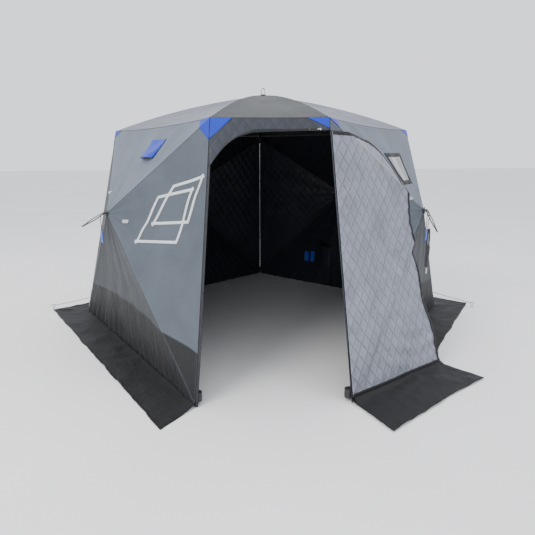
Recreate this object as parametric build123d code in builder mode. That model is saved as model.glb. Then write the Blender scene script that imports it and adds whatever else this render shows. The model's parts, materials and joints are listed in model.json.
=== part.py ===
"""Five-sided pop-up ice fishing shelter with a corner door.

Four equal walls and the roof are each tensioned by a hub that carries sprung rods. The narrow fifth side,
without a hub, is the doorway. The origin is on the ice under the peak: X runs to the right, Y to the back,
Z up, and the door faces -Y. Every wall is built in its own frame, with U along the wall (to the right when
seen from outside), V up the slope and W out of it, and W = 0 on the plane through the wall's four corners.
"""

from build123d import *
import os
from math import asin, cos, radians, sin

# Driving dimensions
EAVE_RADIUS = 1406.0
BASE_RADIUS = 1845.0
EAVE_HEIGHT = 1805.0
PEAK_HEIGHT = 2100.0
DOOR_HALF_ANGLE = 15.8
HUB_HEIGHT_SHARE = 0.6
WALL_BULGE = 300.0
ROOF_RING_SHARE = 0.5
ROOF_RING_LIFT = 45.0

# Fabric
FABRIC = 3.0
PATCH = 2.0
SKIRT = 4.0
SKIRT_WIDTH = 300.0
SKIRT_TUCK = 12.0
PATCH_LEG = 140.0

# Frame
ROD_RADIUS = 5.5
FERRULE_RADIUS = 7.5
FERRULE_LENGTH = 70.0
TONGUE_WIDTH = 9.0
PIN_RADIUS = 4.0
PIN_CLEARANCE = 0.05
PIN_CIRCLE = 34.0
ROOF_PIN_CIRCLE = 58.0
HUB_RIM = 14.0
HUB_THICKNESS = 26.0
HUB_DROP = 36.0
ROOF_HUB_DROP = 34.0
SLOT_WIDTH = 12.0
ROD_SETBACK = 20.0
TIP_TO_CORNER = 125.0
HUB_TRAVEL = 250.0
ROOF_TRAVEL = 240.0

# Corner and foot fittings
SOCKET_RADIUS = 15.0
SOCKET_BORE = 11.0
SOCKET_LENGTH = 84.0
SOCKET_DEPTH = 62.0
TIP_INSERTION = 15.0
SOCKET_LIFT = 3.0
CORE_RADIUS = 25.0
CORE_HEIGHT = 62.0
CORE_INSET = 50.0

# Cap outside each hub
CAP_RADIUS = 26.0
CAP_THICKNESS = 5.0
CAP_GAP = 2.0
BOLT_RADIUS = 4.0
EAR_THICKNESS = 4.0
EAR_GAP = 32.0
HANDLE_PIVOT = 14.0
HANDLE_PIN = 2.5
HANDLE_WIDTH = 28.0
HANDLE_LENGTH = 200.0
HANDLE_THICKNESS = 4.0

# Door
DOOR_OPEN_ANGLE = 214.0
DOOR_THICKNESS = 9.0
DOOR_SETBACK = 3.0
DOOR_GAP = 8.0
JAMB_STRIP = 14.0
HEADER_HIGH = 1768.0
HEADER_LOW = 1756.0
HEADER_START = -110.0
JAMB_HEAD = 1545.0
ARCH = [(-345.0, 1605.0), (-290.0, 1668.0), (-215.0, 1722.0)]
DOOR_BOTTOM = 34.0
DOOR_CORNER_WIDTH = 122.0
DOOR_CORNER_TOP = 104.0
TRACK_NEAR = 2.0
TRACK_FAR = 11.0
TRACK_HEIGHT = 2.0
APRON_LEVEL = 6.0
APRON_WIDTH = 330.0

# Lines and small pieces
CORD_RADIUS = 2.5
STRAP_WIDTH = 38.0
GUY_SHARE = 0.08
ANCHOR_EYE = 44.0
EYE_RADIUS = 13.0
LEFT_ANCHOR = Vector(-2218, 334, ANCHOR_EYE)
RIGHT_ANCHOR = Vector(2207, 176, ANCHOR_EYE)
# Pocket pieces as (U, height up the panel, width, height, depth)
POCKET_PIECES = [
    (168.0, 360.0, 165.0, 250.0, 26.0),
    (168.0, 512.0, 170.0, 50.0, 9.0),
    (439.0, 340.0, 60.0, 120.0, 5.0),
    (352.0, 345.0, 55.0, 130.0, 5.0),
]

Z_AXIS = Vector(0, 0, 1)

WALLS = {
    "left_front": ("left", "front_left"),
    "left_back": ("back", "left"),
    "right_back": ("right", "back"),
    "right_front": ("front_right", "right"),
}
HANDLE_DROOP = {"left_front": 28.0, "left_back": 76.0, "right_back": 76.0, "right_front": 60.0}

wall_step = (360 - 2 * DOOR_HALF_ANGLE) / 4
CORNER_ANGLES = {
    "front_right": -90 + DOOR_HALF_ANGLE,
    "right": -90 + DOOR_HALF_ANGLE + wall_step,
    "back": 90.0,
    "left": 270 - DOOR_HALF_ANGLE - wall_step,
    "front_left": 270 - DOOR_HALF_ANGLE,
}


def corner_point(name, radius, height):
    angle = radians(CORNER_ANGLES[name])
    return Vector(radius * cos(angle), radius * sin(angle), height)


eave = {name: corner_point(name, EAVE_RADIUS, EAVE_HEIGHT) for name in CORNER_ANGLES}
base = {name: corner_point(name, BASE_RADIUS, SKIRT) for name in CORNER_ANGLES}


class Wall:
    """The four corners of one side, and its own frame of U along, V up the slope and W outward."""

    def __init__(self, start, end):
        self.start, self.end = start, end
        foot = (base[start] + base[end]) * 0.5
        head = (eave[start] + eave[end]) * 0.5
        self.u = (base[end] - base[start]).normalized()
        self.v = (head - foot).normalized()
        self.w = self.u.cross(self.v).normalized()
        self.centre = foot + (head - foot) * HUB_HEIGHT_SHARE
        self.peak = self.centre + self.w * WALL_BULGE
        self.foot, self.slope = foot, (head - foot).length

    def point(self, u, v, w=0.0):
        return self.centre + self.u * u + self.v * v + self.w * w

    def frame(self, u=0.0, v=0.0, w=0.0):
        return Plane(origin=self.point(u, v, w), x_dir=self.u, z_dir=self.w)

    def flat(self, point):
        """A point's U and V in this wall's frame."""
        arm = point - self.centre
        return arm.dot(self.u), arm.dot(self.v)


walls = {name: Wall(*ends) for name, ends in WALLS.items()}
front = Wall("front_left", "front_right")


# --- helpers -----------------------------------------------------------------------------------------


def sheet(points, direction, thickness):
    """A flat panel with the given corners, thickened along one direction, so that neighbours meet edge to edge."""
    origin, along, across = points[0], points[1] - points[0], points[2] - points[0]
    plane = Plane(origin=origin, x_dir=along, z_dir=along.cross(across))
    with BuildPart() as panel:
        with BuildSketch(plane):
            with BuildLine():
                Polyline(*[plane.to_local_coords(p) for p in points], close=True)
            make_face()
        extrude(amount=thickness, dir=direction)
    return panel.part


def group(name, pieces):
    """Separate solids under one node name."""
    gathered = Compound(label=name, children=list(pieces))
    return gathered


def write(part, name):
    part.label = name
    export_step(part, f"parts/{name}.step")


def rod_between(start, end, radius, setback_start=0.0, setback_end=0.0):
    direction = (end - start).normalized()
    begin = start + direction * setback_start
    length = (end - start).length - setback_start - setback_end
    with BuildPart() as rod:
        with BuildSketch(Plane(origin=begin, z_dir=direction)):
            Circle(radius)
        extrude(amount=length)
    return rod.part


# --- fabric walls ------------------------------------------------------------------------------------


def wall_facets(wall):
    """The four triangles from the wall's peak to its corners: bottom, right, top and left."""
    corners = [base[wall.start], base[wall.end], eave[wall.end], eave[wall.start]]
    for k in range(4):
        yield [corners[k], corners[(k + 1) % 4], wall.peak]


def bolt_hole(wall):
    with BuildPart() as hole:
        with BuildSketch(wall.frame(w=WALL_BULGE - 60)):
            Circle(BOLT_RADIUS + 3)
        extrude(amount=120)
    return hole.part


def wall_fabric(wall, openings=()):
    """Four panels swept outward by the fabric's thickness, with any openings cut in the top one."""
    hole = bolt_hole(wall)
    panels = []
    for k, corners in enumerate(wall_facets(wall)):
        with BuildPart() as facet:
            add(sheet(corners, wall.w, FABRIC))
            add(hole, mode=Mode.SUBTRACT)
            if k == 2:
                for outline in openings:
                    add(panel_cut(wall, outline), mode=Mode.SUBTRACT)
        panels.append(facet.part)
    return panels


# --- windows -----------------------------------------------------------------------------------------

WINDOW_LAP = 14.0
WINDOW_PANE = 1.5
# Corners on the top panel: distance along the eave from its middle, and distance down from it
WINDOW = [(-60, -265), (300, -265), (165, -530), (-20, -530)]
VENT = [(110, -150), (250, -150), (200, -250), (110, -250)]
HOOD = [(80, -120), (345, -120), (285, -290), (60, -290)]
HOOD_LIFT = 16.0


def top_facet_plane(wall):
    left, right = eave[wall.start], eave[wall.end]
    along = right - left
    normal = along.cross(wall.peak - left).normalized()
    if normal.dot(wall.w) < 0:
        normal = normal * -1
    middle = (left + right) * 0.5
    return Plane(origin=middle, x_dir=along, z_dir=normal)


def vent_hood(wall):
    """A stiffened hood over the vent: sewn flat along its top edge and standing off at its open lower edge."""
    plane = top_facet_plane(wall)
    skin = FABRIC * plane.z_dir.dot(wall.w) + 0.5
    top_left, top_right, low_right, low_left = [
        plane.from_local_coords(Vector(x, y, skin + (HOOD_LIFT if y < -200 else 0))) for x, y in HOOD
    ]
    return group(
        "vent_hood",
        [
            sheet([top_left, top_right, low_right], wall.w, PATCH),
            sheet([top_left, low_right, low_left], wall.w, PATCH),
        ],
    )


def window_pane(wall, corners):
    """A clear pane sewn over its opening, on the outside of the wall's top panel."""
    plane = top_facet_plane(wall)
    skin = FABRIC * plane.z_dir.dot(wall.w)
    with BuildPart() as pane:
        with BuildSketch(plane.offset(skin)):
            with BuildLine():
                Polyline(*corners, close=True)
            make_face()
            offset(amount=WINDOW_LAP, kind=Kind.INTERSECTION)
        extrude(amount=WINDOW_PANE)
    return pane.part


def panel_cut(wall, corners):
    plane = top_facet_plane(wall)
    with BuildPart() as cut:
        with BuildSketch(plane.offset(-20)):
            with BuildLine():
                Polyline(*corners, close=True)
            make_face()
        extrude(amount=40)
    return cut.part


# --- roof --------------------------------------------------------------------------------------------


def roof_fabric():
    """Ten panels: an inner and an outer one in each of the five sectors, swept upward."""
    names = list(CORNER_ANGLES)
    peak = Vector(0, 0, PEAK_HEIGHT)
    ring_height = EAVE_HEIGHT + (PEAK_HEIGHT - EAVE_HEIGHT) * (1 - ROOF_RING_SHARE) + ROOF_RING_LIFT
    ring = {n: corner_point(n, EAVE_RADIUS * ROOF_RING_SHARE, ring_height) for n in names}
    panels = []
    with BuildPart() as hole:
        with BuildSketch(Plane.XY.offset(PEAK_HEIGHT - 60)):
            Circle(BOLT_RADIUS + 3)
        extrude(amount=120)
    for k, name in enumerate(names):
        other = names[(k + 1) % len(names)]
        with BuildPart() as inner:
            add(sheet([ring[name], ring[other], peak], Z_AXIS, FABRIC))
            add(hole.part, mode=Mode.SUBTRACT)
        panels.append(inner.part)
        panels.append(sheet([eave[name], eave[other], ring[other], ring[name]], Z_AXIS, FABRIC))
    return panels


# --- hubs and rods -----------------------------------------------------------------------------------


class Rod:
    """One sprung rod: where it pivots on its hub, where its tip rests, and how far it turns as the hub is pushed in."""

    def __init__(self, centre, normal, corner, travel, pin_circle):
        flat = corner - centre
        flat = flat - normal * flat.dot(normal)
        self.out = flat.normalized()
        self.normal = normal
        self.axis = normal.cross(self.out)
        self.pivot = centre + self.out * pin_circle
        height = (centre - corner).dot(normal) + ROD_SETBACK
        reach = flat.length - pin_circle - TIP_TO_CORNER
        self.length = (reach**2 + height**2) ** 0.5
        self.lean = asin(height / self.length)
        self.turn = self.lean - asin((height - travel) / self.length)
        self.ratio = self.turn / travel * 1000
        self.along = self.out * cos(self.lean) - normal * sin(self.lean)
        self.tip = self.pivot + self.along * self.length

    def solids(self):
        """The rod with its ferrule, the eye that the pin passes through, the pin and the rubber tip."""
        ferrule_start = HUB_RIM + 3
        shaft = rod_between(self.pivot, self.tip, ROD_RADIUS, FERRULE_LENGTH, 0)
        with BuildPart() as ferrule:
            with BuildSketch(Plane(origin=self.pivot + self.along * ferrule_start, z_dir=self.along)):
                Circle(FERRULE_RADIUS)
            extrude(amount=FERRULE_LENGTH - ferrule_start)
            eye_plane = Plane(origin=self.pivot - self.axis * (TONGUE_WIDTH / 2), x_dir=self.along, z_dir=self.axis)
            with BuildSketch(eye_plane):
                Circle(FERRULE_RADIUS)
                with Locations((ferrule_start / 2 + 1, 0)):
                    Rectangle(ferrule_start + 2, FERRULE_RADIUS * 2 - 2)
            extrude(amount=TONGUE_WIDTH)
            with BuildSketch(eye_plane):
                Circle(PIN_RADIUS)
            extrude(amount=TONGUE_WIDTH, mode=Mode.SUBTRACT)
        pin_length = SLOT_WIDTH + 12
        with BuildPart() as pin:
            with BuildSketch(Plane(origin=self.pivot - self.axis * (pin_length / 2), z_dir=self.axis)):
                Circle(PIN_RADIUS)
            extrude(amount=pin_length)
        return [shaft, ferrule.part, pin.part]


def hub_body(centre, normal, rods):
    """A round moulded hub with one slot and one pin bore for each rod."""
    radius = (rods[0].pivot - centre).length + HUB_RIM
    with BuildPart() as hub:
        with BuildSketch(Plane(origin=centre - normal * (HUB_THICKNESS / 2), z_dir=normal)):
            Circle(radius)
        extrude(amount=HUB_THICKNESS)
        fillet(hub.edges().filter_by(GeomType.CIRCLE), 2.5)
        for rod in rods:
            slot_plane = Plane(origin=rod.pivot - normal * HUB_THICKNESS, x_dir=rod.out, z_dir=normal)
            with BuildSketch(slot_plane):
                with Locations((18, 0)):
                    Rectangle(56, SLOT_WIDTH)
            extrude(amount=HUB_THICKNESS * 1.5 - 3, mode=Mode.SUBTRACT)
            bore = Plane(origin=rod.pivot - rod.axis * 40, z_dir=rod.axis)
            with BuildSketch(bore.offset(40 - SLOT_WIDTH / 2 - 8)):
                Circle(PIN_RADIUS + PIN_CLEARANCE)
            extrude(amount=SLOT_WIDTH + 16, mode=Mode.SUBTRACT)
        with BuildSketch(Plane(origin=centre - normal * HUB_THICKNESS, z_dir=normal)):
            Circle(BOLT_RADIUS)
        extrude(amount=HUB_THICKNESS * 2, mode=Mode.SUBTRACT)
    return hub.part


def hub_cap(centre, normal, along, skin_height, ears):
    """The plate outside the fabric, its bolt, and on a wall two ears that hold the handle's pin."""
    seat = centre + normal * (skin_height + CAP_GAP)
    plane = Plane(origin=seat, x_dir=along, z_dir=normal)
    with BuildPart() as cap:
        with BuildSketch(plane):
            Circle(CAP_RADIUS)
        extrude(amount=CAP_THICKNESS)
        if ears:
            with BuildSketch(plane.offset(CAP_THICKNESS)):
                with Locations((EAR_GAP / 2 + EAR_THICKNESS / 2, 0), (-EAR_GAP / 2 - EAR_THICKNESS / 2, 0)):
                    Rectangle(EAR_THICKNESS, 12)
            extrude(amount=HANDLE_PIVOT + 5)
        with BuildSketch(plane):
            Circle(BOLT_RADIUS)
        extrude(amount=CAP_THICKNESS, mode=Mode.SUBTRACT)
        if ears:
            pin_plane = Plane(origin=seat + normal * (CAP_THICKNESS + HANDLE_PIVOT) - along * 40, z_dir=along)
            with BuildSketch(pin_plane):
                Circle(HANDLE_PIN + PIN_CLEARANCE)
            extrude(amount=80, mode=Mode.SUBTRACT)
    bolt_start = centre - normal * (HUB_THICKNESS / 2 + 4)
    bolt_end = seat + normal * (CAP_THICKNESS + 3)
    with BuildPart() as bolt:
        with BuildSketch(Plane(origin=bolt_start, z_dir=normal)):
            Circle(BOLT_RADIUS)
        extrude(amount=(bolt_end - bolt_start).length)
        with BuildSketch(Plane(origin=bolt_end - normal * 3, z_dir=normal)):
            RegularPolygon(7, 6)
        extrude(amount=4)
        with BuildSketch(Plane(origin=bolt_start, z_dir=normal)):
            RegularPolygon(7, 6)
        extrude(amount=4)
    return cap.part, bolt.part, seat + normal * (CAP_THICKNESS + HANDLE_PIVOT)


def strap_handle(pivot, along, outward, droop):
    """A stitched webbing handle with the pin it swings on, stored drooping below level."""
    level = (outward - Z_AXIS * outward.dot(Z_AXIS)).normalized()
    reach = level * cos(radians(droop)) - Z_AXIS * sin(radians(droop))
    with BuildPart() as handle:
        with BuildSketch(Plane(origin=pivot - along * (HANDLE_WIDTH / 2), x_dir=reach, z_dir=along)):
            Circle(HANDLE_PIN + 3)
            with Locations((HANDLE_LENGTH / 2 - 10, 0)):
                SlotOverall(HANDLE_LENGTH, HANDLE_THICKNESS)
        extrude(amount=HANDLE_WIDTH)
        pin_length = EAR_GAP + 2 * EAR_THICKNESS + 2
        with BuildSketch(Plane(origin=pivot - along * (pin_length / 2), z_dir=along)):
            Circle(HANDLE_PIN)
        extrude(amount=pin_length)
    return handle.part


# --- corner and foot fittings ------------------------------------------------------------------------


def socket_plane(rod):
    """Where a rod's tip enters its socket, facing the corner."""
    mouth = rod.tip - rod.out * TIP_INSERTION + rod.normal * SOCKET_LIFT
    return Plane(origin=mouth, z_dir=rod.out)


def fitting(corner, rods, rise):
    """A moulded block with one open socket for each rod tip that ends at this corner."""
    spoke = Vector(corner.X, corner.Y, 0).normalized()
    core = corner - spoke * CORE_INSET + Z_AXIS * rise
    with BuildPart() as block:
        for rod in rods:
            with BuildSketch(socket_plane(rod)):
                Circle(SOCKET_RADIUS)
            extrude(amount=SOCKET_LENGTH)
        with Locations(core):
            Cylinder(CORE_RADIUS, CORE_HEIGHT)
        for rod in rods:
            with BuildSketch(socket_plane(rod)):
                Circle(SOCKET_BORE)
            extrude(amount=SOCKET_DEPTH, mode=Mode.SUBTRACT)
    return block.part


# --- doorway and door --------------------------------------------------------------------------------


def front_edge(v):
    """Half the doorway side's width at height V up its slope."""
    half_base, half_eave = base["front_right"].X, eave["front_right"].X
    return half_base + (half_eave - half_base) * v / front.slope


def front_plane(w=0.0):
    return Plane(origin=front.foot + front.w * w, x_dir=front.u, z_dir=front.w)


def on_front(x, v, w=0.0):
    return front_plane(w).from_local_coords(Vector(x, v, 0))


def doorway_edge(gap=0.0, foot=0.0):
    """The jamb, arched corner and straight header, moved into the opening by a gap. Returns its two ends."""
    left_foot = (-front_edge(foot) + JAMB_STRIP + gap, foot)
    jamb_head = (-front_edge(JAMB_HEAD) + JAMB_STRIP + gap, JAMB_HEAD - gap * 0.4)
    arch = [jamb_head] + [(x + gap * 0.6, v - gap * 0.8) for x, v in ARCH]
    header_start = (HEADER_START, HEADER_LOW - gap)
    header_end = (front_edge(HEADER_HIGH) - max(gap, 0), HEADER_HIGH - gap)
    Line(left_foot, jamb_head)
    Spline(*arch, header_start, tangents=[(0.7, 1), (1, 0.04)])
    Line(header_start, header_end)
    return left_foot, header_end


def front_surround():
    """The fabric beside and above the opening, in one piece."""
    half_base, half_eave = front_edge(0), front_edge(front.slope)
    with BuildPart() as surround:
        with BuildSketch(front_plane()):
            with BuildLine():
                left_foot, header_end = doorway_edge()
                Polyline(
                    header_end, (half_eave, front.slope), (-half_eave, front.slope), (-half_base, 0), left_foot
                )
            make_face()
        extrude(amount=FABRIC)
    return surround.part


def zip_track():
    """The zip's tape and teeth, on the outside along the opening's edge."""
    with BuildPart() as track:
        with BuildSketch(front_plane(FABRIC)):
            with BuildLine():
                inner_foot, inner_end = doorway_edge(-TRACK_NEAR)
                outer_foot, outer_end = doorway_edge(-TRACK_FAR)
                Line(inner_foot, outer_foot)
                Line(inner_end, outer_end)
            make_face()
        extrude(amount=TRACK_HEIGHT)
    return track.part


def header_direction():
    return (on_front(front_edge(HEADER_HIGH), HEADER_HIGH) - on_front(HEADER_START, HEADER_LOW)).normalized()


def header_rise():
    """Up the slope, square to the header."""
    return front.w.cross(header_direction())


SLIDER_X = 318.0
slider_v = HEADER_LOW + (HEADER_HIGH - HEADER_LOW) * (SLIDER_X - HEADER_START) / (front_edge(HEADER_HIGH) - HEADER_START)
slider_w = FABRIC + TRACK_HEIGHT + 0.5


def zip_slider():
    """The slider's body, riding over the teeth, with an ear for its pull."""
    centre = on_front(SLIDER_X, slider_v + (TRACK_NEAR + TRACK_FAR) / 2, slider_w)
    plane = Plane(origin=centre, x_dir=header_direction(), z_dir=front.w)
    with BuildPart() as slider:
        with BuildSketch(plane):
            RectangleRounded(24, 13, 3)
        extrude(amount=4)
        with BuildSketch(plane.offset(4)):
            Rectangle(10, 5)
        extrude(amount=8)
        across = Plane(origin=centre + front.w * 8 - header_rise() * 10, z_dir=header_rise())
        with BuildSketch(across):
            Circle(2)
        extrude(amount=20, mode=Mode.SUBTRACT)
    return slider.part, centre + front.w * 8


def zip_pull(pivot):
    """A webbing loop on a pin through the slider's ear, lying back along the zip."""
    along, rise = header_direction(), header_rise()
    with BuildPart() as pull:
        with BuildSketch(Plane(origin=pivot - rise * 7, z_dir=rise)):
            Circle(1.95)
        extrude(amount=14)
        for side in (-1, 1):
            leg = Plane(origin=pivot + rise * (side * 6.0) - front.w * 1.5, x_dir=along, z_dir=front.w)
            with BuildSketch(leg):
                with Locations((-28.8, 0)):
                    Rectangle(62.4, 4)
            extrude(amount=3)
        foot = Plane(origin=pivot - front.w * 1.5, x_dir=along, z_dir=front.w)
        with BuildSketch(foot):
            with Locations((-64, 0)):
                Rectangle(14, 16)
        extrude(amount=3)
    return pull.part


hinge_bottom = on_front(front_edge(0), 0)
hinge_top = on_front(front_edge(HEADER_HIGH), HEADER_HIGH)
door_axis = Axis(hinge_bottom, hinge_top - hinge_bottom)


def door_panel():
    """The quilted door, drawn shut in the doorway and then swung open about its sewn edge."""
    with BuildPart() as panel:
        with BuildSketch(front_plane(-DOOR_SETBACK - DOOR_THICKNESS)):
            with BuildLine():
                left_foot, header_end = doorway_edge(DOOR_GAP, DOOR_CORNER_TOP)
                foot_end = front_edge(DOOR_BOTTOM) - DOOR_GAP - DOOR_CORNER_WIDTH
                Polyline(
                    header_end,
                    (front_edge(DOOR_CORNER_TOP) - DOOR_GAP, DOOR_CORNER_TOP),
                    (foot_end, DOOR_BOTTOM),
                    (-foot_end, DOOR_BOTTOM),
                    left_foot,
                )
            make_face()
        extrude(amount=DOOR_THICKNESS)
    return panel.part.rotate(door_axis, DOOR_OPEN_ANGLE)


def swung(x, v, w=0.0):
    """Where a point of the shut door is once the door stands open."""
    about = Axis((0, 0, 0), hinge_top - hinge_bottom)
    return hinge_bottom + (on_front(x, v, w) - hinge_bottom).rotate(about, DOOR_OPEN_ANGLE)


apron_near = swung(front_edge(0) - 70, DOOR_BOTTOM, -DOOR_SETBACK - DOOR_THICKNESS)
apron_far = swung(-front_edge(0) + 80, DOOR_BOTTOM, -DOOR_SETBACK - DOOR_THICKNESS)
apron_along = Vector(apron_far.X - apron_near.X, apron_far.Y - apron_near.Y, 0).normalized()
apron_out = Vector(apron_along.Y, -apron_along.X, 0)


def door_apron():
    """The apron sewn to the door's lower edge, lying on the ice in front of the open door."""
    near = Vector(apron_near.X, apron_near.Y, APRON_LEVEL) + apron_out * 6
    far = Vector(apron_far.X, apron_far.Y, APRON_LEVEL) + apron_out * 6
    corners = [
        near,
        near + apron_out * APRON_WIDTH - apron_along * 30,
        far + apron_out * APRON_WIDTH - apron_along * 10,
        far,
    ]
    return sheet(corners, Z_AXIS, SKIRT - 1)


# --- skirts ------------------------------------------------------------------------------------------


def wall_skirts():
    """Four aprons on the ice, mitred where walls meet and squared off beside the door."""
    plates = []
    for wall in walls.values():
        out = Vector(wall.w.X, wall.w.Y, 0).normalized()
        edge = []
        for corner, sign in ((wall.start, -1), (wall.end, 1)):
            foot = Vector(base[corner].X, base[corner].Y, 0)
            if corner in ("front_left", "front_right"):
                edge.append(foot + out * SKIRT_WIDTH + wall.u * (sign * 120))
            else:
                spoke = foot.normalized()
                edge.append(foot + spoke * (SKIRT_WIDTH / spoke.dot(out)))
        inner = [Vector(base[c].X, base[c].Y, 0) - out * SKIRT_TUCK for c in (wall.start, wall.end)]
        inner = [inner[0] + wall.u * SKIRT_TUCK, inner[1] - wall.u * SKIRT_TUCK]
        plates.append(sheet([inner[0], edge[0], edge[1], inner[1]], Z_AXIS, SKIRT))
    return plates


# --- corner patches and straps -----------------------------------------------------------------------


def corner_patches():
    """Reinforcement over each top corner, in triangles, with none under the folded-back door."""
    pieces = []
    for wall in walls.values():
        for corner, other in ((wall.start, wall.end), (wall.end, wall.start)):
            tip = eave[corner]
            eave_point = tip + (eave[other] - tip).normalized() * PATCH_LEG
            edge_point = tip + (base[corner] - tip).normalized() * PATCH_LEG
            seam_point = tip + (wall.peak - tip).normalized() * (PATCH_LEG * 0.72)
            lift = wall.w * FABRIC
            pieces.append(sheet([tip + lift, eave_point + lift, seam_point + lift], wall.w, PATCH))
            if (wall.start, corner) != ("front_right", "front_right"):
                pieces.append(sheet([tip + lift, seam_point + lift, edge_point + lift], wall.w, PATCH))
    tip = eave["front_left"] + front.w * FABRIC
    down = (base["front_left"] - eave["front_left"]).normalized()
    pieces.append(sheet([tip, tip + front.u * PATCH_LEG, tip + down * PATCH_LEG], front.w, PATCH))
    tip = eave["front_right"] + front.w * FABRIC
    down = (base["front_right"] - eave["front_right"]).normalized()
    along = header_direction()
    low = down * ((front.slope - HEADER_HIGH) * 0.78)
    pieces.append(sheet([tip, tip - front.u * PATCH_LEG, tip - along * 45 + low, tip + low], front.w, PATCH))
    return pieces


def corner_strap(wall, corner):
    """Webbing sewn up the lower end of a corner, for a guy line."""
    start, end = base[corner], eave[corner]
    lift = wall.w * FABRIC
    low, high = start + (end - start) * 0.03 + lift, start + (end - start) * 0.13 + lift
    low_in = low + (wall.peak + lift - low).normalized() * STRAP_WIDTH
    high_in = high + (wall.peak + lift - high).normalized() * STRAP_WIDTH
    return sheet([low, low_in, high_in, high], wall.w, PATCH)


# --- lines, anchors and small pieces -----------------------------------------------------------------


def guy_line(corner, anchor):
    """A taut line from a corner's strap to its anchor."""
    start, end = base[corner], eave[corner]
    spoke = Vector(start.X, start.Y, 0).normalized()
    top = start + (end - start) * GUY_SHARE + spoke * 14
    return rod_between(top, anchor, CORD_RADIUS, 0, EYE_RADIUS + 5)


def ice_anchor(eye):
    """The part of a screw-in anchor that stands above the ice: a shank, a collar and an eye."""
    with BuildPart() as anchor:
        with BuildSketch():
            with Locations((eye.X, eye.Y)):
                Circle(14)
        extrude(amount=5)
        with BuildSketch():
            with Locations((eye.X, eye.Y)):
                Circle(5)
        extrude(amount=ANCHOR_EYE - EYE_RADIUS)
        with BuildSketch(Plane(origin=eye + Vector(0, 3.5, 0), x_dir=(1, 0, 0), z_dir=(0, -1, 0))):
            Circle(EYE_RADIUS + 4)
            Circle(EYE_RADIUS - 4, mode=Mode.SUBTRACT)
        extrude(amount=7)
    return anchor.part


def rope_hank(wall):
    """A coiled rope tied off below the hub's cap, as its outer shape, with a toggle at the bottom."""
    out = Vector(wall.w.X, wall.w.Y, 0).normalized()
    hang = wall.peak + out * 48 + wall.u * 22
    with BuildPart() as coil:
        with BuildSketch(Plane(origin=hang - Z_AXIS * 310 - out * 10, x_dir=wall.u, z_dir=out)):
            SlotOverall(330, 56, rotation=90)
        extrude(amount=20)
    tail = rod_between(hang - Z_AXIS * 475, hang - Z_AXIS * 530, 9)
    return [coil.part, tail]


def pull_cord(wall):
    """A thin cord hanging from the hub's cap, with a flat tab to hold it by."""
    out = Vector(wall.w.X, wall.w.Y, 0).normalized()
    top = wall.peak + out * 40 - wall.u * 40 - Z_AXIS * 30
    low = top - Z_AXIS * 120
    with BuildPart() as tab:
        with BuildSketch(Plane(origin=low - Z_AXIS * 45 - out * 4, x_dir=wall.u, z_dir=out)):
            RectangleRounded(46, 90, 6)
        extrude(amount=8)
    return [rod_between(top, low, CORD_RADIUS), tab.part]


def storage_pocket():
    """A hanging pocket and two webbing tabs, sewn inside the right rear wall's lower panel."""
    wall = walls["right_back"]
    low = (base[wall.start] + base[wall.end]) * 0.5
    normal = (base[wall.end] - base[wall.start]).cross(wall.peak - low).normalized()
    if normal.dot(wall.w) < 0:
        normal = normal * -1
    inside = Plane(origin=low, x_dir=wall.u, z_dir=normal * -1)
    flip = -1 if inside.y_dir.Z < 0 else 1
    pieces = []
    for x, y, width, height, depth in POCKET_PIECES:
        with BuildPart() as piece:
            with BuildSketch(inside):
                with Locations((x, flip * y)):
                    RectangleRounded(width, height, 5)
            extrude(amount=depth)
        pieces.append(piece.part)
    return pieces


def peak_loop():
    """A webbing loop standing on the roof hub's cap, for pulling the roof out."""
    seat = PEAK_HEIGHT + FABRIC + CAP_GAP + CAP_THICKNESS
    with BuildPart() as loop:
        with BuildSketch(Plane.XZ.offset(-9)):
            with Locations((0, seat + 22)):
                SlotOverall(66, 34, rotation=90)
                SlotOverall(58, 26, rotation=90, mode=Mode.SUBTRACT)
            with Locations((0, seat - 20)):
                Rectangle(60, 40, mode=Mode.SUBTRACT)
        extrude(amount=18)
    return loop.part


# --- build and export --------------------------------------------------------------------------------

os.makedirs("parts", exist_ok=True)

rods_at = {("eave", name): [] for name in CORNER_ANGLES} | {("base", name): [] for name in CORNER_ANGLES}
hubs = {}
for name, wall in walls.items():
    centre = wall.peak - wall.w * HUB_DROP
    ends = {
        "upper_start": ("eave", wall.start),
        "upper_end": ("eave", wall.end),
        "lower_start": ("base", wall.start),
        "lower_end": ("base", wall.end),
    }
    rods = {}
    for rod_name, (level, corner) in ends.items():
        target = eave[corner] if level == "eave" else base[corner]
        rods[rod_name] = Rod(centre, wall.w, target, HUB_TRAVEL, PIN_CIRCLE)
        rods_at[(level, corner)].append(rods[rod_name])
    hubs[name] = (centre, wall.w, wall.u, HUB_DROP, rods)
roof_centre = Vector(0, 0, PEAK_HEIGHT - ROOF_HUB_DROP)
roof_rods = {}
for corner in CORNER_ANGLES:
    roof_rods[corner] = Rod(roof_centre, Z_AXIS, eave[corner], ROOF_TRAVEL, ROOF_PIN_CIRCLE)
    rods_at[("eave", corner)].append(roof_rods[corner])
hubs["roof"] = (roof_centre, Z_AXIS, Vector(1, 0, 0), ROOF_HUB_DROP, roof_rods)

for name, (centre, normal, along, drop, rods) in hubs.items():
    write(hub_body(centre, normal, list(rods.values())), f"hub_{name}")
    cap, bolt, handle_pivot = hub_cap(centre, normal, along, drop + FABRIC, ears=name != "roof")
    pieces = [cap, bolt]
    if name == "roof":
        pieces.append(peak_loop())
    else:
        write(strap_handle(handle_pivot, along, normal, HANDLE_DROOP[name]), f"handle_{name}")
    write(group(f"cap_{name}", pieces), f"cap_{name}")
    for rod_name, rod in rods.items():
        write(group("rod", rod.solids()), f"rod_{name}_{rod_name}")

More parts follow.
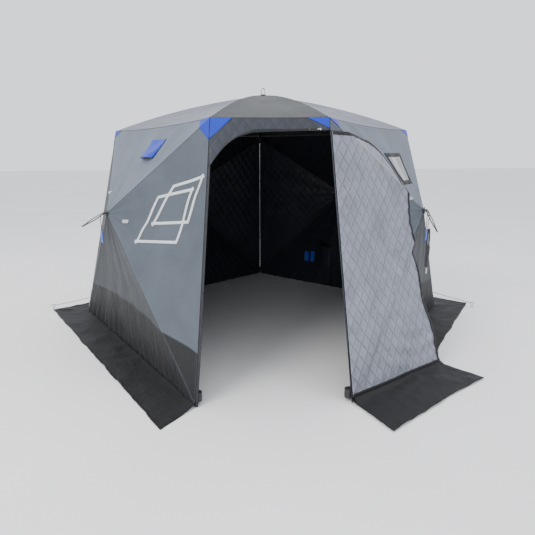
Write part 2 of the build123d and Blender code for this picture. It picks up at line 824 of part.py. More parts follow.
openings = {"left_front": [VENT], "right_front": [WINDOW]}
for name, wall in walls.items():
    write(group("fabric", wall_fabric(wall, openings.get(name, []))), f"wall_{name}")
write(group("roof", roof_fabric()), "roof_fabric")
write(window_pane(walls["right_front"], WINDOW), "window")
write(vent_hood(walls["left_front"]), "vent_hood")
write(group("patches", corner_patches()), "corner_patches")
write(group("skirts", wall_skirts()), "wall_skirts")
write(group("upper", [fitting(eave[n], rods_at[("eave", n)], -CORE_INSET) for n in CORNER_ANGLES]), "upper_fittings")
write(group("lower", [fitting(base[n], rods_at[("base", n)], CORE_INSET) for n in CORNER_ANGLES]), "foot_fittings")

write(front_surround(), "front_surround")
write(zip_track(), "zip_track")
slider, pull_pivot = zip_slider()
write(slider, "zip_slider")
write(zip_pull(pull_pivot), "zip_pull")
write(door_panel(), "door_panel")
write(door_apron(), "door_apron")

write(guy_line("left", LEFT_ANCHOR), "guy_line_left")
write(guy_line("right", RIGHT_ANCHOR), "guy_line_right")
write(group("anchors", [ice_anchor(LEFT_ANCHOR), ice_anchor(RIGHT_ANCHOR)]), "ice_anchors")
straps = [corner_strap(walls["left_front"], "left"), corner_strap(walls["right_front"], "right")]
write(group("straps", straps), "corner_straps")
write(group("hank", rope_hank(walls["right_front"])), "rope_hank")
write(group("cord", pull_cord(walls["left_front"])), "pull_cord_left")
write(group("cord", pull_cord(walls["right_front"])), "pull_cord_right")
write(group("pocket", storage_pocket()), "storage_pocket")
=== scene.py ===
"""Blender model of the five-sided ice fishing shelter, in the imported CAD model's frame, in metres.

X is to the right, Y to the back, Z up, and the doorway faces -Y. Each side of the shelter has its own frame:
U along it, V up its slope and W out of it, with the middle of its hub at U = V = 0.
"""

import json
from math import cos, exp, pi, radians, sin, sqrt

import bpy
from mathutils import Matrix, Vector, noise
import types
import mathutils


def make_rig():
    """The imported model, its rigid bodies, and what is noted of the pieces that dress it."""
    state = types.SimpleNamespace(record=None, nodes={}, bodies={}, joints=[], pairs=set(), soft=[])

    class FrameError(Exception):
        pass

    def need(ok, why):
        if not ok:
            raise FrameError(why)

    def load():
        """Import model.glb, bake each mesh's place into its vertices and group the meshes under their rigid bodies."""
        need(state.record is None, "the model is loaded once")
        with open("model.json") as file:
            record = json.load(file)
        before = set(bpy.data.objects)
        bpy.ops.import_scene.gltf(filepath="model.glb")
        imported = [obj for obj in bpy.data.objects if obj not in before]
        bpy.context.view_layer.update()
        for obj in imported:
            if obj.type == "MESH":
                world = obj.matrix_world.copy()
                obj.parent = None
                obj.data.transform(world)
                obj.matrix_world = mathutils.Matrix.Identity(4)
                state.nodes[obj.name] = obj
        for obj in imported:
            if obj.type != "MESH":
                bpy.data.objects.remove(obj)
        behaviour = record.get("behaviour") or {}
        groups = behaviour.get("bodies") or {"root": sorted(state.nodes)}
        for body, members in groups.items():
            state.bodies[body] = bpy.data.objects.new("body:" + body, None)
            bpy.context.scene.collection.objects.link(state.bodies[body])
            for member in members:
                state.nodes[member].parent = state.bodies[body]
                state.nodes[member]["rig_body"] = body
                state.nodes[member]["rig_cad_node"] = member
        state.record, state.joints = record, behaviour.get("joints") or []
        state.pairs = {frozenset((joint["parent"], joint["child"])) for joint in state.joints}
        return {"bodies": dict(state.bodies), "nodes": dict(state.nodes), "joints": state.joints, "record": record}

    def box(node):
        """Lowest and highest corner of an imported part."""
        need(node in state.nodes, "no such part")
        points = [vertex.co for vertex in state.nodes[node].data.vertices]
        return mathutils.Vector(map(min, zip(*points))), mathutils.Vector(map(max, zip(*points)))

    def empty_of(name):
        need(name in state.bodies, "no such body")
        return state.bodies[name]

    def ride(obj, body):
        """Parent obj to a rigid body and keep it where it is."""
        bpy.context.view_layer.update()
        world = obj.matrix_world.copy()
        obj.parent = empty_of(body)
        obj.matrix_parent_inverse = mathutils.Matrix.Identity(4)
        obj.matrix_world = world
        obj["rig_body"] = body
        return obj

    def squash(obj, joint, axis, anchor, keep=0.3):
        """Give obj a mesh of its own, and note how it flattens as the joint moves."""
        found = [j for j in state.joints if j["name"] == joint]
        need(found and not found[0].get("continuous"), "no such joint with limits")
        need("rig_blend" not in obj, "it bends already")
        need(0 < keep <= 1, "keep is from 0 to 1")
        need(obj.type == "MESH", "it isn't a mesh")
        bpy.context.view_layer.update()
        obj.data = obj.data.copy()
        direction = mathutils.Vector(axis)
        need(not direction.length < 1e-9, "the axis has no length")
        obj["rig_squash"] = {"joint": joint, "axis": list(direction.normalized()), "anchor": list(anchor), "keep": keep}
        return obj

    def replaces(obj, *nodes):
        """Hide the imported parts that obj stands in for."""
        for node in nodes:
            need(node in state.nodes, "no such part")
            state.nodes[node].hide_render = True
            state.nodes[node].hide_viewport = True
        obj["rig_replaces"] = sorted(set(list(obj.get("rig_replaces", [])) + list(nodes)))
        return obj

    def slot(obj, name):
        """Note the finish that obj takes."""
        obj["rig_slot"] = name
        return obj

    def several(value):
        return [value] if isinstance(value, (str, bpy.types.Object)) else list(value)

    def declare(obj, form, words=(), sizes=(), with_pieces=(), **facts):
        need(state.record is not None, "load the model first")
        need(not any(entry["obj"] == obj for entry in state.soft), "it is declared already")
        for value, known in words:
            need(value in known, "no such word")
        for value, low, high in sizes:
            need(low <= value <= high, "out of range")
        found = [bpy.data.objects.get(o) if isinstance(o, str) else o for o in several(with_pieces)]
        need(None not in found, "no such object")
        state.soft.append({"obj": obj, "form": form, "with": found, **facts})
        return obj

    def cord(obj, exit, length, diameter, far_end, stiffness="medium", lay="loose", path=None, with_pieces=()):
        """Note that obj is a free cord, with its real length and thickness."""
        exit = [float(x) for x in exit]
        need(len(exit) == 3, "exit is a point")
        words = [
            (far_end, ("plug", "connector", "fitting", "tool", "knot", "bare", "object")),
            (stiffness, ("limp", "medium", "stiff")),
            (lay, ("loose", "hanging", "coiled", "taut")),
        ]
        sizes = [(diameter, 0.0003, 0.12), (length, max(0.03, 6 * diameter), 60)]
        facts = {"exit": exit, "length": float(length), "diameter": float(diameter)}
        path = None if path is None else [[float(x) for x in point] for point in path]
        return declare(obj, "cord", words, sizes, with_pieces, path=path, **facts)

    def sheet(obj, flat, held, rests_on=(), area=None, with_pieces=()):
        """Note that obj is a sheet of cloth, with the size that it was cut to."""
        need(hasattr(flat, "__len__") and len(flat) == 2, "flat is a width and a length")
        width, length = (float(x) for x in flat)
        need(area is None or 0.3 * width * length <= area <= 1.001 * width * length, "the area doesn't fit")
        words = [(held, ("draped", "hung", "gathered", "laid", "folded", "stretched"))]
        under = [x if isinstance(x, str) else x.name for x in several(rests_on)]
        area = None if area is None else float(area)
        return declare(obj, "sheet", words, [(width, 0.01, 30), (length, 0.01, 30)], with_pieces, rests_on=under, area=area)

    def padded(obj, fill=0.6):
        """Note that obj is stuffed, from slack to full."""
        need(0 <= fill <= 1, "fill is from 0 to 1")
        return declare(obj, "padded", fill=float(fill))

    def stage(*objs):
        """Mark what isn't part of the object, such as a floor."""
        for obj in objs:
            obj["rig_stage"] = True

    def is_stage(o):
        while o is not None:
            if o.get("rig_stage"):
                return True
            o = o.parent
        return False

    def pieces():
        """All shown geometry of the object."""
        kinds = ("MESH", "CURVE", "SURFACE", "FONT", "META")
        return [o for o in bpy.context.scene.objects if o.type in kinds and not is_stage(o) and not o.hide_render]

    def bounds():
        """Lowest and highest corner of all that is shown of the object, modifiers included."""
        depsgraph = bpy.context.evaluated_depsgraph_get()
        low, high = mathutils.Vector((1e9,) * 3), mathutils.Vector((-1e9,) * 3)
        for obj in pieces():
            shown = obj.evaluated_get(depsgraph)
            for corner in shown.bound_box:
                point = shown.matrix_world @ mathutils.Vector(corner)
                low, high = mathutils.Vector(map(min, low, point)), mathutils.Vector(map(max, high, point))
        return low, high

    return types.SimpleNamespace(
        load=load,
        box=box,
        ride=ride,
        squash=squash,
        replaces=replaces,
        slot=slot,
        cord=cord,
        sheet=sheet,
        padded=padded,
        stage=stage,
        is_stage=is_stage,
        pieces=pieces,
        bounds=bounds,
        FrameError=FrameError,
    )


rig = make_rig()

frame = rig.load()
cad_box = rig.bounds()

# The shelter's driving dimensions, as in the CAD model
EAVE_RADIUS = 1.406
BASE_RADIUS = 1.845
EAVE_HEIGHT = 1.805
PEAK_HEIGHT = 2.100
DOOR_HALF_ANGLE = 15.8
HUB_SHARE = 0.6
BULGE = 0.300
BASE_LEVEL = 0.004
CLOTH = 0.003
HEADER_HIGH = 1.768
HEADER_LOW = 1.756
HEADER_START = -0.110
JAMB_HEAD = 1.545
JAMB_STRIP = 0.014
ARCH = [(-0.345, 1.605), (-0.290, 1.668), (-0.215, 1.722)]
DOOR_GAP = 0.008
DOOR_BOTTOM = 0.034
DOOR_MIDDLE = -0.0075
SKIRT_WIDTH = 0.300
HUB_TRAVEL = 0.250
ROOF_TRAVEL = 0.240
HUB_KEEP = 1 - HUB_TRAVEL / BULGE
ROOF_KEEP = 1 - ROOF_TRAVEL / (PEAK_HEIGHT - EAVE_HEIGHT)

UP = Vector((0, 0, 1))

wall_step = (360 - 2 * DOOR_HALF_ANGLE) / 4
CORNER_ANGLES = {
    "front_right": -90 + DOOR_HALF_ANGLE,
    "right": -90 + DOOR_HALF_ANGLE + wall_step,
    "back": 90.0,
    "left": 270 - DOOR_HALF_ANGLE - wall_step,
    "front_left": 270 - DOOR_HALF_ANGLE,
}
WALLS = {
    "left_front": ("left", "front_left"),
    "left_back": ("back", "left"),
    "right_back": ("right", "back"),
    "right_front": ("front_right", "right"),
}


def ring_point(name, radius, height):
    angle = radians(CORNER_ANGLES[name])
    return Vector((radius * cos(angle), radius * sin(angle), height))


eave = {name: ring_point(name, EAVE_RADIUS, EAVE_HEIGHT) for name in CORNER_ANGLES}
base = {name: ring_point(name, BASE_RADIUS, BASE_LEVEL) for name in CORNER_ANGLES}


def mix(a, b, t):
    return a + (b - a) * t


def ease(low, high, x):
    """0 below low, 1 above high, and smooth between."""
    t = min(max((x - low) / (high - low), 0.0), 1.0)
    return t * t * (3 - 2 * t)


def ripple(x, y, scale, seed=0.0):
    """Smooth seeded noise between about -1 and 1."""
    return noise.noise(Vector((x * scale, y * scale, seed)))


# --- camera ------------------------------------------------------------------------------------------

CAMERA_PLACE = Vector((-0.146, -4.554, 1.554))
CAMERA_HEADING = 0.039
CAMERA_PITCH = -0.227
CAMERA_ROLL = -0.005
CAMERA_LENS = 32.0


def make_camera():
    camera = bpy.data.objects.new("camera", bpy.data.cameras.new("camera"))
    bpy.context.scene.collection.objects.link(camera)
    ahead = Vector(
        (
            sin(CAMERA_HEADING) * cos(CAMERA_PITCH),
            cos(CAMERA_HEADING) * cos(CAMERA_PITCH),
            sin(CAMERA_PITCH),
        )
    )
    level = Vector((cos(CAMERA_HEADING), -sin(CAMERA_HEADING), 0))
    rise = level.cross(ahead)
    right = level * cos(CAMERA_ROLL) + rise * sin(CAMERA_ROLL)
    top = rise * cos(CAMERA_ROLL) - level * sin(CAMERA_ROLL)
    turn = Matrix((right, top, -ahead)).transposed()
    camera.matrix_world = Matrix.Translation(CAMERA_PLACE) @ turn.to_4x4()
    camera.data.lens = CAMERA_LENS
    camera.data.sensor_width = 36
    bpy.context.scene.camera = camera


make_camera()

# --- materials ---------------------------------------------------------------------------------------


class Nodes:
    """A material's node tree, with short calls for the nodes used here."""

    def __init__(self, name):
        self.material = bpy.data.materials.new(name)
        self.material.use_nodes = True
        self.tree = self.material.node_tree
        self.tree.nodes.clear()
        self.shader = self.tree.nodes.new("ShaderNodeBsdfPrincipled")
        output = self.tree.nodes.new("ShaderNodeOutputMaterial")
        self.tree.links.new(self.shader.outputs["BSDF"], output.inputs["Surface"])

    def put(self, socket, value):
        if isinstance(value, bpy.types.NodeSocket):
            self.tree.links.new(value, socket)
        else:
            socket.default_value = value

    def math(self, operation, a, b=0.0, c=0.0, clamp=False):
        node = self.tree.nodes.new("ShaderNodeMath")
        node.operation = operation
        node.use_clamp = clamp
        for socket, value in zip(node.inputs, (a, b, c)):
            self.put(socket, value)
        return node.outputs[0]

    def uv(self, name):
        node = self.tree.nodes.new("ShaderNodeUVMap")
        node.uv_map = name
        return node.outputs["UV"]

    def place(self):
        node = self.tree.nodes.new("ShaderNodeTexCoord")
        return node.outputs["Object"]

    def split(self, vector):
        node = self.tree.nodes.new("ShaderNodeSeparateXYZ")
        self.put(node.inputs[0], vector)
        return node.outputs[0], node.outputs[1], node.outputs[2]

    def stretch(self, vector, scale, turn=0.0):
        node = self.tree.nodes.new("ShaderNodeMapping")
        self.put(node.inputs["Vector"], vector)
        node.inputs["Scale"].default_value = scale
        node.inputs["Rotation"].default_value = (0, 0, turn)
        return node.outputs[0]

    def noise(self, vector, scale, detail=3.0, rough=0.55, twist=0.0):
        node = self.tree.nodes.new("ShaderNodeTexNoise")
        self.put(node.inputs["Vector"], vector)
        node.inputs["Scale"].default_value = scale
        node.inputs["Detail"].default_value = detail
        node.inputs["Roughness"].default_value = rough
        node.inputs["Distortion"].default_value = twist
        return node.outputs["Fac"]

    def range(self, value, low, high, out_low=0.0, out_high=1.0, smooth=True):
        node = self.tree.nodes.new("ShaderNodeMapRange")
        node.interpolation_type = "SMOOTHSTEP" if smooth else "LINEAR"
        self.put(node.inputs["Value"], value)
        for name, number in (("From Min", low), ("From Max", high), ("To Min", out_low),
                ("To Max", out_high)):
            self.put(node.inputs[name], number)
        return node.outputs["Result"]

    def blend(self, amount, a, b, mode="MIX"):
        node = self.tree.nodes.new("ShaderNodeMix")
        node.data_type = "RGBA"
        node.blend_type = mode
        self.put(node.inputs[0], amount)
        self.put(node.inputs[6], a)
        self.put(node.inputs[7], b)
        return node.outputs[2]

    def bump(self, height, distance, strength=1.0, normal=None):
        node = self.tree.nodes.new("ShaderNodeBump")
        node.inputs["Distance"].default_value = distance
        node.inputs["Strength"].default_value = strength
        self.put(node.inputs["Height"], height)
        if normal is not None:
            self.put(node.inputs["Normal"], normal)
        return node.outputs["Normal"]


def rgba(colour, gain=1.0):
    return (colour[0] * gain, colour[1] * gain, colour[2] * gain, 1.0)


def weave(kit, vector, pitch):
    """Plain weave height from 0 to 1: threads over and under each other at the given pitch."""
    x, y, _ = kit.split(vector)
    across = kit.math("SINE", kit.math("MULTIPLY", x, 2 * pi / pitch))
    along = kit.math("SINE", kit.math("MULTIPLY", y, 2 * pi / pitch))
    return kit.math("MULTIPLY_ADD", kit.math("MULTIPLY", across, along), 0.5, 0.5)


def cloth_material(
    name,
    colour,
    roughness=0.62,
    sheen=0.03,
    pitch=0.0016,
    crumple=0.006,
    band=None,
    seams=True,
    fade=0.16,
    coat=0.0,
):
    """Coated woven cloth: weave, soft creases, colour variation, sewn seams with stitches and painted shade
    in their grooves and folds, and an optional darker band along the foot. It reads the UV maps cloth,
    in metres, and seam, the distance to a seam and the run along it."""
    kit = Nodes(name)
    cloth = kit.uv("cloth")
    large = kit.noise(kit.stretch(cloth, (1, 1, 1)), 2.3, 4.0, 0.6, 0.4)
    fine = kit.noise(cloth, 60.0, 3.0, 0.7)
    threads = kit.noise(kit.stretch(cloth, (420, 60, 1)), 1.0, 2.0, 0.6)
    shade = kit.blend(kit.range(large, 0.3, 0.7), rgba(colour, 1 - fade), rgba(colour, 1 + fade))
    shade = kit.blend(kit.range(fine, 0.35, 0.75, 0.0, 0.22), shade, rgba(colour, 0.72))
    shade = kit.blend(kit.range(threads, 0.4, 0.7, 0.0, 0.16), shade, rgba(colour, 1.35))
    height = kit.math("MULTIPLY", weave(kit, cloth, pitch), 0.06)
    crease = kit.noise(kit.stretch(cloth, (5.5, 2.6, 1), 0.5), 1.0, 5.0, 0.55, 1.2)
    crease_b = kit.noise(kit.stretch(cloth, (3.0, 9.0, 1), -0.35), 1.0, 4.0, 0.6, 0.9)
    rough = kit.range(large, 0.25, 0.75, roughness - 0.07, roughness + 0.08)
    normal = kit.bump(kit.math("ADD", crease, kit.math("MULTIPLY", crease_b, 0.8)), crumple * 2.2, 0.55)
    normal = kit.bump(height, 0.004, 0.35, normal)
    if band is not None:
        x, y, _ = kit.split(cloth)
        curve = kit.math("MULTIPLY", kit.math("MULTIPLY", x, x), -0.062)
        edge = kit.math("ADD", curve, band)
        below = kit.range(kit.math("SUBTRACT", y, edge), -0.002, 0.002, 1.0, 0.0, False)
        dark = kit.blend(kit.range(large, 0.3, 0.7), (0.0060, 0.0060, 0.0068, 1),
            (0.011, 0.011, 0.0125, 1))
        shade = kit.blend(below, shade, dark)
        seam_line = kit.math("ABSOLUTE", kit.math("SUBTRACT", y, edge))
        shade = kit.blend(kit.range(seam_line, 0.004, 0.007, 0.7, 0.0), shade, (0.008, 0.008, 0.009, 1))
        gather = kit.noise(kit.stretch(cloth, (16, 1.6, 1)), 1.0, 3.0, 0.5, 0.6)
        pulled = kit.math("MULTIPLY", gather, kit.range(kit.math("SUBTRACT", y, edge), 0.0, 0.10, 1.0,
            0.0))
        normal = kit.bump(pulled, 0.02, 0.8, normal)
    if seams:
        gap, run, _ = kit.split(kit.uv("seam"))
        fold = kit.range(gap, 0.0, 0.011, 1.0, 0.0)
        groove = kit.range(gap, 0.0, 0.0035, 1.0, 0.0)
        # Painted shade in the seam's groove and along its fold.
        shade = kit.blend(kit.math("MULTIPLY", groove, 0.75), shade, rgba(colour, 0.22))
        shade = kit.blend(kit.math("MULTIPLY", fold, 0.22), shade, rgba(colour, 0.5))
        line = kit.range(kit.math("ABSOLUTE", kit.math("SUBTRACT", gap, 0.0085)), 0.0007, 0.0014, 1.0,
            0.0)
        dash = kit.range(kit.math("FRACT", kit.math("DIVIDE", run, 0.0065)), 0.25, 0.35, 0.0, 1.0)
        stitch = kit.math("MULTIPLY", line, dash)
        shade = kit.blend(kit.math("MULTIPLY", stitch, 0.6), shade, rgba(colour, 2.0))
        pucker = kit.noise(kit.stretch(kit.uv("seam"), (10, 55, 1)), 1.0, 2.0, 0.5)
        near = kit.range(gap, 0.0, 0.05, 1.0, 0.0)
        normal = kit.bump(kit.math("MULTIPLY", pucker, near), 0.006, 0.6, normal)
        normal = kit.bump(kit.math("SUBTRACT", fold, groove), 0.0035, 0.9, normal)
    kit.put(kit.shader.inputs["Base Color"], shade)
    kit.put(kit.shader.inputs["Roughness"], rough)
    kit.put(kit.shader.inputs["Normal"], normal)
    kit.shader.inputs["Sheen Weight"].default_value = sheen
    kit.shader.inputs["Sheen Roughness"].default_value = 0.45
    kit.shader.inputs["Coat Weight"].default_value = coat
    kit.shader.inputs["Specular IOR Level"].default_value = 0.35
    return kit.material


def quilt_material(name, colour, pitch, roughness, sheen, metallic=0.0, seams=False, depth=0.012):
    """Quilted lining: diamonds between stitched lines, with painted shade along the lines and seams, puffed in the
    middle, with small creases.
    """
    kit = Nodes(name)
    cloth = kit.uv("cloth")
    x, y, _ = kit.split(cloth)
    wander = kit.math("MULTIPLY", kit.math("SUBTRACT", kit.noise(cloth, 7.0, 2.0), 0.5), 0.012)
    puffs, lines = [], []
    for sign in (1, -1):
        run = kit.math("ADD", kit.math("ADD", kit.math("MULTIPLY", x, sign * 1.35), y), wander)
        phase = kit.math("FRACT", kit.math("DIVIDE", run, pitch))
        away = kit.math("ABSOLUTE", kit.math("SUBTRACT", phase, 0.5))
        lines.append(kit.range(away, 0.455, 0.5, 0.0, 1.0))
        puffs.append(kit.math("SQRT", kit.math("MAXIMUM", kit.math("SUBTRACT", 0.5, away), 0.0)))
    line = kit.math("MAXIMUM", *lines)
    puff = kit.math("MULTIPLY", *puffs)
    mottle = kit.noise(cloth, 5.0, 4.0, 0.6, 0.5)
    fine = kit.noise(kit.stretch(cloth, (90, 40, 1)), 1.0, 3.0, 0.65)
    small = kit.noise(kit.stretch(cloth, (28, 16, 1), 0.6), 1.0, 4.0, 0.6, 1.4)
    shade = kit.blend(kit.range(mottle, 0.3, 0.7), rgba(colour, 0.84), rgba(colour, 1.16))
    shade = kit.blend(kit.range(fine, 0.3, 0.8, 0.0, 0.2), shade, rgba(colour, 0.6))
    # Painted shade in the stitched valleys between the puffs.
    shade = kit.blend(kit.math("MULTIPLY", line, 0.85), shade, rgba(colour, 0.30))
    normal = kit.bump(puff, depth, 0.9)
    normal = kit.bump(small, 0.004, 0.6, normal)
    normal = kit.bump(weave(kit, cloth, 0.0013), 0.0003, 0.4, normal)
    if seams:
        gap, _, _ = kit.split(kit.uv("seam"))
        # Painted shade along the seams.
        shade = kit.blend(kit.range(gap, 0.004, 0.010, 0.8, 0.0), shade, rgba(colour, 0.25))
        normal = kit.bump(kit.range(gap, 0.0, 0.012, 1.0, 0.0), 0.004, 0.8, normal)
    kit.put(kit.shader.inputs["Base Color"], shade)
    kit.put(kit.shader.inputs["Roughness"], kit.range(small, 0.3, 0.7, roughness - 0.07, roughness
        + 0.07))
    kit.put(kit.shader.inputs["Normal"], normal)
    kit.shader.inputs["Metallic"].default_value = metallic
    kit.shader.inputs["Sheen Weight"].default_value = sheen
    kit.shader.inputs["Sheen Roughness"].default_value = 0.4
    return kit.material


def webbing_material(name, colour):
    """Woven strap: a close herringbone across the strap. It reads the UV map cloth."""
    kit = Nodes(name)
    cloth = kit.uv("cloth")
    x, y, _ = kit.split(cloth)
    slant = kit.math("ADD", y, kit.math("MULTIPLY", kit.math("PINGPONG", x, 0.004), 1.0))
    rib = kit.math("SINE", kit.math("MULTIPLY", slant, 2 * pi / 0.0028))
    wear = kit.noise(cloth, 45.0, 4.0, 0.7)
    shade = kit.blend(kit.range(rib, -0.6, 0.8), rgba(colour, 0.6), rgba(colour, 1.35))
    shade = kit.blend(kit.range(wear, 0.45, 0.8, 0.0, 0.3), shade, rgba(colour, 2.2))
    kit.put(kit.shader.inputs["Base Color"], shade)
    kit.put(kit.shader.inputs["Roughness"], kit.range(wear, 0.3, 0.7, 0.62, 0.85))
    kit.put(kit.shader.inputs["Normal"], kit.bump(rib, 0.0005, 0.8))
    kit.shader.inputs["Sheen Weight"].default_value = 0.3
    return kit.material


def moulded_material(name, colour, roughness=0.42, grain=900.0):
    """Moulded plastic: fine texture, faint flow marks and scuffed patches."""
    kit = Nodes(name)
    place = kit.place()
    speck = kit.noise(place, grain, 2.0, 0.6)
    flow = kit.noise(kit.stretch(place, (8, 8, 30)), 1.0, 3.0, 0.5, 0.8)
    scuff = kit.noise(place, 60.0, 6.0, 0.72)
    shade = kit.blend(kit.range(flow, 0.3, 0.7), rgba(colour, 0.85), rgba(colour, 1.15))
    shade = kit.blend(kit.range(scuff, 0.58, 0.8, 0.0, 0.5), shade, rgba(colour, 2.4))
    kit.put(kit.shader.inputs["Base Color"], shade)
    kit.put(kit.shader.inputs["Roughness"], kit.range(scuff, 0.4, 0.75, roughness, roughness + 0.25))
    kit.put(kit.shader.inputs["Normal"], kit.bump(speck, 0.0002, 0.5))
    return kit.material


def rod_material(name, colour):
    """Pultruded glass-fibre rod: long fibres under a satin skin."""
    kit = Nodes(name)
    place = kit.place()
    fibre = kit.noise(kit.stretch(place, (400, 400, 400)), 1.0, 2.0, 0.6, 2.0)
    wear = kit.noise(place, 35.0, 5.0, 0.7)
    shade = kit.blend(kit.range(fibre, 0.3, 0.7), rgba(colour, 0.7), rgba(colour, 1.4))
    shade = kit.blend(kit.range(wear, 0.6, 0.85, 0.0, 0.4), shade, rgba(colour, 3.0))
    kit.put(kit.shader.inputs["Base Color"], shade)
    kit.put(kit.shader.inputs["Roughness"], kit.range(wear, 0.3, 0.8, 0.3, 0.5))
    kit.put(kit.shader.inputs["Normal"], kit.bump(fibre, 0.0002, 0.4))
    return kit.material


def metal_material(name, colour, roughness=0.32):
    """Plated steel with fine scratches and dulled patches."""
    kit = Nodes(name)
    place = kit.place()
    scratch = kit.noise(kit.stretch(place, (900, 60, 900), 0.4), 1.0, 4.0, 0.6)
    dull = kit.noise(place, 70.0, 5.0, 0.7)
    shade = kit.blend(kit.range(dull, 0.4, 0.75), rgba(colour), rgba(colour, 0.6))
    kit.put(kit.shader.inputs["Base Color"], shade)
    kit.put(kit.shader.inputs["Roughness"], kit.range(dull, 0.3, 0.75, roughness, roughness + 0.25))
    kit.put(kit.shader.inputs["Normal"], kit.bump(scratch, 0.0002, 0.4))
    kit.shader.inputs["Metallic"].default_value = 1.0
    return kit.material


def zip_material(name, colour):
    """Coil zip: close teeth across the strip, worn in patches."""
    kit = Nodes(name)
    place = kit.place()
    x, y, z = kit.split(place)
    run = kit.math("ADD", kit.math("ADD", x, z), kit.math("MULTIPLY", y, 0.3))
    tooth = kit.math("SINE", kit.math("MULTIPLY", run, 2 * pi / 0.0042))
    wear = kit.noise(place, 90.0, 4.0, 0.7)
    shade = kit.blend(kit.range(tooth, -0.4, 0.6), rgba(colour, 0.4), rgba(colour, 1.6))
    shade = kit.blend(kit.range(wear, 0.5, 0.8, 0.0, 0.3), shade, rgba(colour, 3.0))
    kit.put(kit.shader.inputs["Base Color"], shade)
    kit.put(kit.shader.inputs["Roughness"], kit.range(wear, 0.3, 0.7, 0.4, 0.6))
    kit.put(kit.shader.inputs["Normal"], kit.bump(tooth, 0.0008, 0.8))
    return kit.material


def film_material(name):
    """Window film against a dark inside, drawn opaque, its colour painted shade for the inside seen through it: glossy,
    faintly hazed and rippled.
    """
    kit = Nodes(name)
    cloth = kit.uv("cloth")
    haze = kit.noise(cloth, 9.0, 5.0, 0.65, 0.8)
    ripple_height = kit.noise(kit.stretch(cloth, (9, 4, 1), 0.3), 1.0, 2.0, 0.5, 0.6)
    # Painted shade: the dark inside seen through the film.
    shade = kit.blend(kit.range(haze, 0.3, 0.75), (0.085, 0.095, 0.105, 1), (0.19, 0.205, 0.22, 1))
    kit.put(kit.shader.inputs["Base Color"], shade)
    kit.put(kit.shader.inputs["Roughness"], kit.range(haze, 0.35, 0.75, 0.10, 0.26))
    kit.put(kit.shader.inputs["Normal"], kit.bump(ripple_height, 0.02, 0.5))
    kit.shader.inputs["Coat Weight"].default_value = 0.6
    kit.shader.inputs["Coat Roughness"].default_value = 0.06
    kit.shader.inputs["Specular IOR Level"].default_value = 0.6
    return kit.material


# The three wall greys are lit and shaded copies of one grey cloth. The palest is painted light for the top facets,
# which face up. The middle one is painted half shade for the side facets, and it also colours the doorway's header and
# the door's back. The darkest is painted shade for the bottom facets, which face down.
LIT_GREY = (0.120, 0.142, 0.176)
MID_GREY = (0.068, 0.083, 0.101)
SHADED_GREY = (0.036, 0.040, 0.045)
ROOF_GREY = (0.150, 0.162, 0.196)
ROOF_DARK = (0.030, 0.034, 0.039)
BLUE = (0.001, 0.028, 0.40)
BLACK = (0.0065, 0.0068, 0.0078)
NAVY = (0.012, 0.016, 0.026)
SILVER = (0.190, 0.200, 0.245)

band_v = -0.685
cloths = {
    "light": cloth_material("cloth_light_grey", LIT_GREY),
    "lit_band": cloth_material("cloth_light_grey_foot", LIT_GREY, band=band_v),
    "half_shaded_band": cloth_material("cloth_mid_grey_foot", MID_GREY, band=band_v),
    "shaded_band": cloth_material("cloth_dark_grey_foot", SHADED_GREY, band=band_v),
    "header": cloth_material("cloth_header_grey", MID_GREY),
    "roof_light": cloth_material("cloth_roof_light", ROOF_GREY),
    "roof_dark": cloth_material("cloth_roof_dark", ROOF_DARK),
    "blue": cloth_material("cloth_blue", BLUE, roughness=0.5, sheen=0.02, crumple=0.003, seams=False,
        coat=0.05),
    "black": cloth_material("cloth_black", BLACK, roughness=0.7, crumple=0.008, seams=False, sheen=0.02),
    "binding": cloth_material("cloth_binding", (0.006, 0.006, 0.007), crumple=0.002, seams=False,
        sheen=0.02),
    "tag": cloth_material("cloth_tag", (0.42, 0.43, 0.45), crumple=0.001, seams=False),
    "print": cloth_material("cloth_print", (0.62, 0.64, 0.67), crumple=0.001, seams=False, roughness=0.5),
    "lining": quilt_material("lining_dark_quilt", NAVY, 0.115, 0.55, 0.18, seams=True, depth=0.008),
    "door_back": cloth_material("cloth_door_back", MID_GREY, seams=False),
    "silver": quilt_material("lining_silver_quilt", SILVER, 0.118, 0.42, 0.05, metallic=0.1, depth=0.022),
    "mesh": cloth_material("cloth_pocket_mesh", (0.02, 0.024, 0.034), crumple=0.004, seams=False),
}
webbing = webbing_material("webbing_black", (0.020, 0.020, 0.021))
webbing_blue = webbing_material("webbing_blue", (0.006, 0.085, 0.60))
webbing_pale = webbing_material("webbing_pale", (0.40, 0.41, 0.42))
hub_plastic = moulded_material("plastic_hub", (0.018, 0.018, 0.019))
cap_plastic = moulded_material("plastic_cap", (0.022, 0.022, 0.024), roughness=0.36)
fitting_plastic = moulded_material("plastic_fitting", (0.020, 0.020, 0.022), roughness=0.55)
rod_finish = rod_material("glass_fibre_rod", (0.018, 0.018, 0.019))
steel = metal_material("plated_steel", (0.62, 0.63, 0.65))
zip_finish = zip_material("coil_zip", (0.02, 0.02, 0.022))
film = film_material("window_film")

# --- mesh helpers ------------------------------------------------------------------------------------


def make_mesh(name, points, faces, materials, slots=None, uvs=None, smooth=True):
    """A linked mesh object. uvs is {map name: (u, v) per point}, and slots a material number per face."""
    mesh = bpy.data.meshes.new(name)
    mesh.from_pydata([tuple(p) for p in points], [], faces)
    for material in materials:
        mesh.materials.append(material)
    if slots is not None:
        mesh.polygons.foreach_set("material_index", slots)
    for title, values in (uvs or {}).items():
        layer = mesh.uv_layers.new(name=title)
        flat = []
        for loop in mesh.loops:
            flat.extend(values[loop.vertex_index])
        layer.data.foreach_set("uv", flat)
    if smooth:
        mesh.polygons.foreach_set("use_smooth", [True] * len(mesh.polygons))
    mesh.update()
    piece = bpy.data.objects.new(name, mesh)
    bpy.context.scene.collection.objects.link(piece)
    return piece


